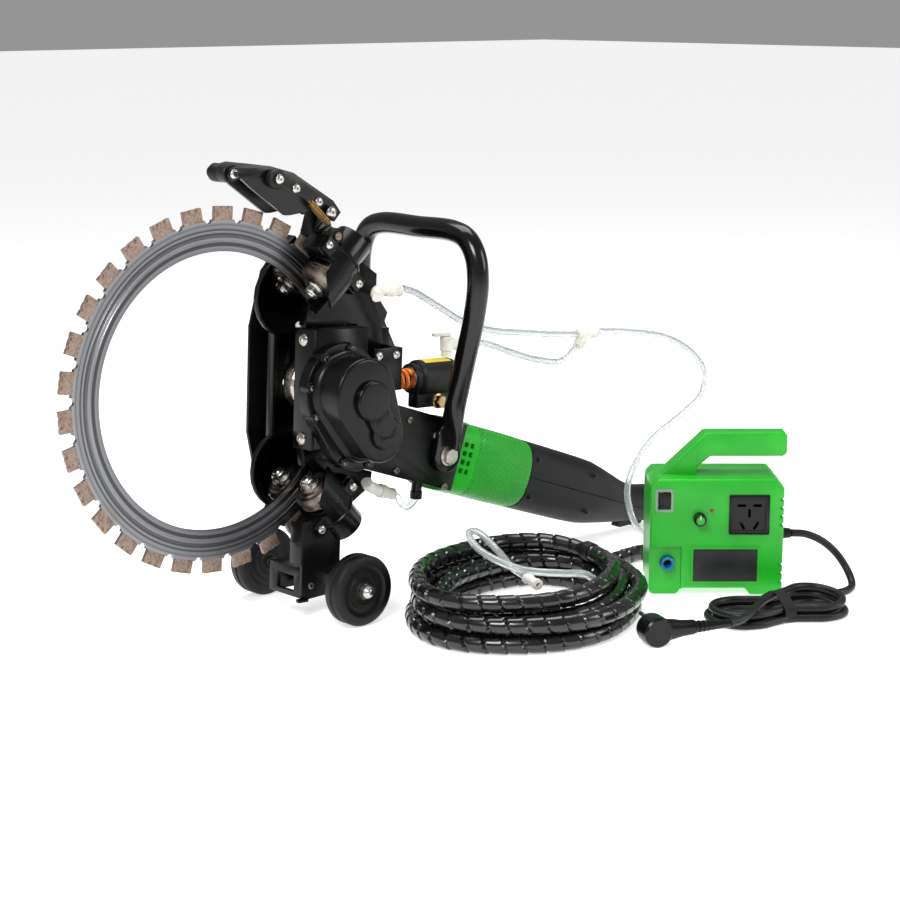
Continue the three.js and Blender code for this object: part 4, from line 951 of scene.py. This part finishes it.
for x, label in ((225.4, "front"), (275.2, "rear")):
    washer = spun(f"spring_washer_{label}", [(6, 0), (14.5, 0), (14.5, 1.6), (6, 1.6)], 40, ring=True)
    moved(washer, Matrix.Translation((x, 0, -5)) @ Matrix.Rotation(math.radians(-90), 4, "Z"))
    laid(washer, SAW, zinc, "frame", "steel")
cup = turned_along_x("spring_cup_moulding", [(0, 0), (16.6, 0), (17.5, 0.8), (17.5, 6.6), (16.8, 7.4), (17, 8), (19.5, 9.4), (21, 11.4), (21, 60), (20.4, 62),
                                             (17, 65), (0, 65)], 277, -5)
cup = fused(cup, brick("foot", 283, 338, -8, 8, -40, -18, 1.5))
laid(cup, SAW, black_abs, "frame", "black_plastic", "spring_cup")
label = lofted("blank_label", [[(x, 21.25 * math.sin(a), -5 + 21.25 * math.cos(a)) for a in [math.radians(-28 + 7 * k) for k in range(8)]] +
                               [(x, 20.6 * math.sin(a), -5 + 20.6 * math.cos(a)) for a in [math.radians(21 - 7 * k) for k in range(8)]]
                               for x in (293, 300, 320, 333)])
laid(label, SAW, yellow_vinyl, "frame", "black_plastic")
brass_bolt = hex_bolt("brass_union", 14, 9, 9)
laid(moved(brass_bolt, Matrix.Translation((310, -15, -32))  @ Matrix.Rotation(math.pi, 4, "Z")), SAW, brass, "frame", "steel")

stub = fused(set_down(moved(spun("tap_body", [(0, 0), (6, 0), (6.4, 1), (6.4, 6), (8, 7.4), (8, 23), (7.4, 24), (0, 24)], 40), Matrix.Rotation(math.radians(90), 4, "X")), 334, 17.4),
             turned_along_x("manifold", [(0, 0), (6, 0), (7, 1), (7, 12), (6.2, 13), (6.2, 17), (7, 18), (7, 33), (6, 35), (5.5, 36), (5.5, 42), (0, 42)], 330, 31))
laid(stub, SAW, white_nylon, "frame", "white_plastic", "water_valve")
lever = fused(brick("tap_lever", 312, 338, -3.5, 3.5, 42, 46, 1.4, 3), set_down(moved(spun("post", [(0, 0), (3, 0), (3, 4), (0, 4)], 24), Matrix.Rotation(math.radians(90), 4, "X")), 334, 41.7))
laid(lever, SAW, white_nylon, "lever", "white_plastic", "valve_lever")
for name, points in (("upper_elbow", [(180, -52, 100), (182, -47, 103), (188, -43, 106), (200, -41, 107), (224, -38, 104)]),
                     ("lower_elbow", [(186, -36, -113), (190, -33, -117), (198, -31, -121), (210, -28, -126), (236, -24, -134)])):
    bend = pipe(name + "_body", points, 6.6, 30, 28)
    end, before = Vector(points[-1]), Vector(points[-2])
    out = (end - before).normalized()
    rings = [pointed(spun("push_ring", [(0, 0), (7.4, 0), (8, 0.8), (8, 9), (7.2, 10), (0, 10)], 36), out, before + out * 2),
             pointed(spun("grip_ring", [(0, 0), (6.8, 0), (6.8, 2.4), (6, 3.2), (0, 3.2)], 36), out, end - out * 2.6)]
    bend = joined(bend, *rings)
    laid(bend, SAW, white_nylon, "frame", "white_plastic", name)
joint = moved(spun("y_body", [(0, -17), (6.2, -17), (6.6, -15), (7.8, -14.4), (8, -13), (8, -6), (7.2, -5), (7.2, 5), (8, 6), (8, 13), (7.6, 14.4),
                              (6.4, 15), (6.2, 17), (0, 17)], 40), Matrix.Rotation(math.radians(-90), 4, "Z"))
arm_of_y = pointed(spun("y_branch", [(0, 0), (6.2, 0), (6.2, 10), (7, 11), (7, 21), (6, 22), (5.8, 24.6), (0, 24.6)], 36), (-0.8, 0, -0.6), (2, 0, 0))
laid(set_down(fused(joint, arm_of_y), 262, 276, 82), LAYOUT, white_nylon, "frame", "white_plastic", "y_connector")

# Short hose that carries the water on from the lower elbow to a black stub under the gearbox.
under, _ = smooth_line([(233, -25, -133), (246, -20, -138.5), (262, -12, -152), (278, -5, -157), (291, -1, -151), (294, 0, -143)], 30)
laid(along_line("under_hose", under, lambda i, share: circle(HOSE, 20)), SAW, clear_pvc, "frame", "clear_tube")
laid(pointed(spun("under_stub", [(0, -4), (7, -4), (7.4, -3), (7.4, 5), (6.4, 6), (6.4, 16), (0, 16)], 32), (0.05, 0, 1), (294, 0, -146)),
     SAW, smooth_abs, "frame", "black_plastic")

# ---------------------------------------------------------------- transport wheels
WHEEL = [(7, -12.5), (11, -12.5), (12, -11), (14, -11), (15, -12.2), (20, -12.2), (21, -10), (25, -9.4), (27.6, -10.6), (29.4, -12), (36, -12.3), (38.6, -11),
         (40, -8.6), (40, -2.4), (38.4, -1.2), (38.4, 1.2), (40, 2.4), (40, 8.6), (38.6, 11), (36, 12.3), (29.4, 12), (27.6, 10.6),
         (25, 9.4), (21, 10), (20, 12.2), (7, 12.2)]
for place, y, face in (("near", -90, -1), ("far", 83, 1)):
    tyre = set_down(spun(f"wheel_{place}_tyre", WHEEL, 96, ring=True), *AXLE, y)
    laid(tyre, SAW, rubber, f"front_wheel_{place}", "rubber", f"wheel_{place}")
    cap = pointed(spun(f"axle_cap_{place}", [(0, 0), (8.6, 0), (9, 0.4), (9, 1.6), (6.8, 2), (6.8, 5.4), (6, 6.2), (4.6, 8.4), (2.6, 9.6), (0, 10)], 36),
                  (0, face, 0), (AXLE[0], y + face * 12.6, AXLE[1]))
    laid(cap, SAW, zinc, "frame", "steel")
# Tall bent plate that hangs the wheels from the lower housing, with a hooked lip at its foot.
hanger = fused(pushed("wheel_hanger", [(97, -150), (146, -150), (152, -172), (152, -236), (104, -240), (97, -232)], -33.6, -29.4, 1.2, 2),
               brick("hanger_lip", 92, 106, -36, -30, -241.6, -237.6, 0.8), brick("hanger_flange", 96, 99.6, -33, -12, -200, -152, 0.8))
laid(hanger, SAW, enamel, "frame", "black_casting")
screws("bracket_screw", screw_model, SAW, "frame", [((x, -33.7, z), (0, -1, 0)) for x, z in ((110, -224), (141, -162))], worn_steel, 0.8)

# ---------------------------------------------------------------- water pump box
W, T, D, SPLIT = 155, 138, 92, 64


def case_outline(i):
    w, t = W - i, T - i
    return [(4 + i, i), (32, i), (38, 8 + i), (112, 8 + i), (118, i), (w - 4, i), (w, 4 + i), (w, t - 10), (w - 10, t),
            (8 + i, t), (i, t - 8), (i, 4 + i)]


case = pushed("pump_front", case_outline(0), 0, SPLIT, 2.2, 3)
grip = pushed("grip", [(13, 133), (13, 137), (65, 187), (158, 187), (161, 184), (161, 163), (157, 159), (72, 159), (56, 146), (56, 133)],
              30, 58, 3.4, 4)
fused(case, grip)
gland = turned_along_x("gland", [(0, -3), (8.5, -3), (8.5, 2), (7.6, 3), (7.6, 5), (6.6, 6), (5.5, 14), (0, 14)], W, 65, 38)
cut(case, brick("recess", -5, 37, -5, 5.4, -5, 58, 1.2), brick("rocker_room", 8, 24, -1, 20, 102, 124, 0.6),
    brick("socket_room", 92.5, 136.5, -1, 20, 74.5, 118.5, 0.6), set_down(rod("outlet_room", 8.6, -1, 20, 40), 21, 38),
    *[brick("vent", W - 5, W + 3, -2, 57, z, z + 4, 0.5, 1) for z in (14, 24, 34, 82, 92, 102, 112)])
fused(case, brick("label_frame", 48, 128, -1.4, 4, 14, 58, 1, 2))
cut(case, brick("label_bed", 50.5, 125.5, -4, -0.4, 16.5, 55.5, 0.3, 1))
laid(case, PUMP, green_abs, "frame", "green_plastic", "pump_front_shell", angle=40)
laid(gland, PUMP, rubber, "frame", "rubber").name = "pump_gland"
back = pushed("pump_back", case_outline(0.4), SPLIT + 0.5, D, 2.6, 3)
cut(back, *[brick("vent", W - 5, W + 3, 70, 84, z, z + 4, 0.5, 1) for z in (24, 34, 92, 102)],
    *[set_down(rod("screw_well", 4, 84, 99, 24), x, z) for x in (14, 141) for z in (18, 122)])
laid(back, PUMP, green_abs, "frame", "green_plastic", "pump_back_shell", angle=40)
laid(brick("pump_label", 50.8, 125.2, -0.9, 0.2, 16.8, 55.2, 0.2, 1), PUMP, dark_vinyl, "frame", "black_plastic")
bezel = cut(brick("rocker_bezel", 5, 27, -1.6, 1, 99, 127, 0.8, 2), brick("room", 8.6, 23.4, -4, 4, 102.6, 123.4, 0.3, 1))
laid(bezel, PUMP, clear_pvc, "frame", "clear_tube")
rocker = pushed("rocker_cap", [(9.2, 103.2), (22.8, 103.2), (22.8, 122.8), (9.2, 122.8)], -2.4, 6, 1.2, 3)
laid(rocker, PUMP, smooth_abs, "rocker", "black_plastic", "pump_rocker")
knob = spun("pump_dial", [(0, -13), (5.6, -13), (7, -12), (7.4, -10.6), (7.5, -1.4), (7, -0.5), (3, -0.5), (3, 9), (0, 9)], 40)
cut(knob, *[set_down(rod("flute", 0.9, -14, -3, 10), 7.9 * math.cos(math.radians(20 * k)), 7.9 * math.sin(math.radians(20 * k))) for k in range(18)])
laid(set_down(knob, 57, 92), PUMP, smooth_abs, "knob", "black_plastic", "pump_knob")
laid(set_down(spun("dial_cap", [(0, -13.8), (4, -13.8), (4.8, -13.2), (4.8, -12.6), (0, -12.6)], 32), 57, 92), PUMP, green_abs, "knob", "green_plastic")
laid(brick("dial_pointer", 56.5, 57.5, -14, -12.8, 93, 98.4, 0.2, 1), PUMP, white_nylon, "knob", "white_plastic")
lamp_glass = plain("red lamp lens", "#7a0d0c", 0.12, Emission_Color=(0.6, 0.02, 0.02, 1), Emission_Strength=0.2, Coat_Weight=0.6)
laid(set_down(spun("power_lamp", [(0, -2.4), (1.4, -2), (2.2, -0.6), (2.4, 0.6), (0, 0.6)], 24), 71, 101), PUMP, lamp_glass, "frame", "black_plastic")
socket = brick("socket_face", 92.9, 136.1, -1.2, 22, 74.9, 118.1, 0.8, 2)
fused(socket, brick("socket_frame", 91, 138, -2.4, -0.2, 73, 120, 0.9, 2))
cut(socket, brick("well", 95.5, 133.5, -4, -1.4, 77.5, 115.5, 0.6, 1),
    *[moved(brick("slot", -1.6, 1.6, -6, 14, -5, 5, 0.3, 1), Matrix.Translation((114.5 + x, 0, 96.5 + z)) @ Matrix.Rotation(math.radians(a), 4, "Y"))
      for x, z, a in ((0, 2, 0), (-8, -13, -30), (8, -13, 30), (-9, 11, 90), (9, 11, 90))])
laid(socket, PUMP, smooth_abs, "frame", "black_plastic", "pump_socket")
laid(set_down(spun("outlet_collar_ring", [(4.4, 0.8), (5, -1.8), (7, -2.2), (8, -1.2), (8, 12), (4.4, 12)], 44, ring=True), 21, 38), PUMP, blue_acetal, "collar",
     "blue_plastic", "outlet_collar")

# ---------------------------------------------------------------- solids that keep their own shape
SLOT_FINISH = {
    "black_casting": enamel, "black_plastic": black_abs, "green_plastic": green_abs, "steel": turned_steel,
    "gear_steel": turned_steel, "ring_steel": round_steel, "orange_steel": orange_wire, "brass_wire": brass_wire, "white_plastic": white_nylon,
    "clear_tube": clear_pvc, "rubber": rubber, "copper": copper_wire, "blue_plastic": blue_acetal,
}
for part in frame["record"]["subparts"]:
    body = NODES[part["node"]]
    body.data.materials.clear()
    body.data.materials.append(SLOT_FINISH[part["material_slot"]])
for model in (screw_model, nut_model, bolt_model):
    bpy.data.objects.remove(model)

# ---------------------------------------------------------------- camera, floor and light
camera_data = bpy.data.cameras.new("camera")
camera_data.lens = 86
camera = bpy.data.objects.new("camera", camera_data)
camera.location = (-1.6198, -1.7491, 0.6917)
camera.rotation_euler = (math.radians(90 - 12.104), 0, math.radians(-42.383))
scene.collection.objects.link(camera)
scene.camera = camera
scene.view_settings.view_transform = "Standard"

bpy.ops.mesh.primitive_plane_add(size=40, location=(0, 0, -0.0005))
floor = bpy.context.object
floor.name = "floor"
# Seamless white paper, lit from behind as well, so that it stays white far away.
floor.data.materials.append(plain("matt white paper", "#f4f4f4", 0.9, Specular_IOR_Level=0.1,
                                  Emission_Color=(1, 1, 1, 1), Emission_Strength=0.62))

# A dim even room, so that black enamel stays black and the softboxes draw its edges.
world = bpy.data.worlds.new("studio")
scene.world = world
world.use_nodes = True
world.node_tree.nodes["Background"].inputs["Color"].default_value = (1, 1, 1, 1)
world.node_tree.nodes["Background"].inputs["Strength"].default_value = 0.3


def softbox(name, location, target, size, power):
    data = bpy.data.lights.new(name, "AREA")
    data.shape = "RECTANGLE"
    data.size, data.size_y = size
    data.energy = power
    lamp = bpy.data.objects.new(name, data)
    lamp.location = location
    lamp.rotation_euler = (Vector(target) - Vector(location)).to_track_quat("-Z", "Y").to_euler()
    scene.collection.objects.link(lamp)


softbox("key", (-1.9, -1.2, 1.9), (-0.1, 0, 0.2), (1.0, 0.8), 46)
softbox("fill", (1.6, -1.9, 1.2), (0.1, 0, 0.2), (0.9, 1.2), 20)
softbox("top", (0.2, 0.5, 2.4), (0, 0.1, 0.2), (2.2, 1.2), 44)
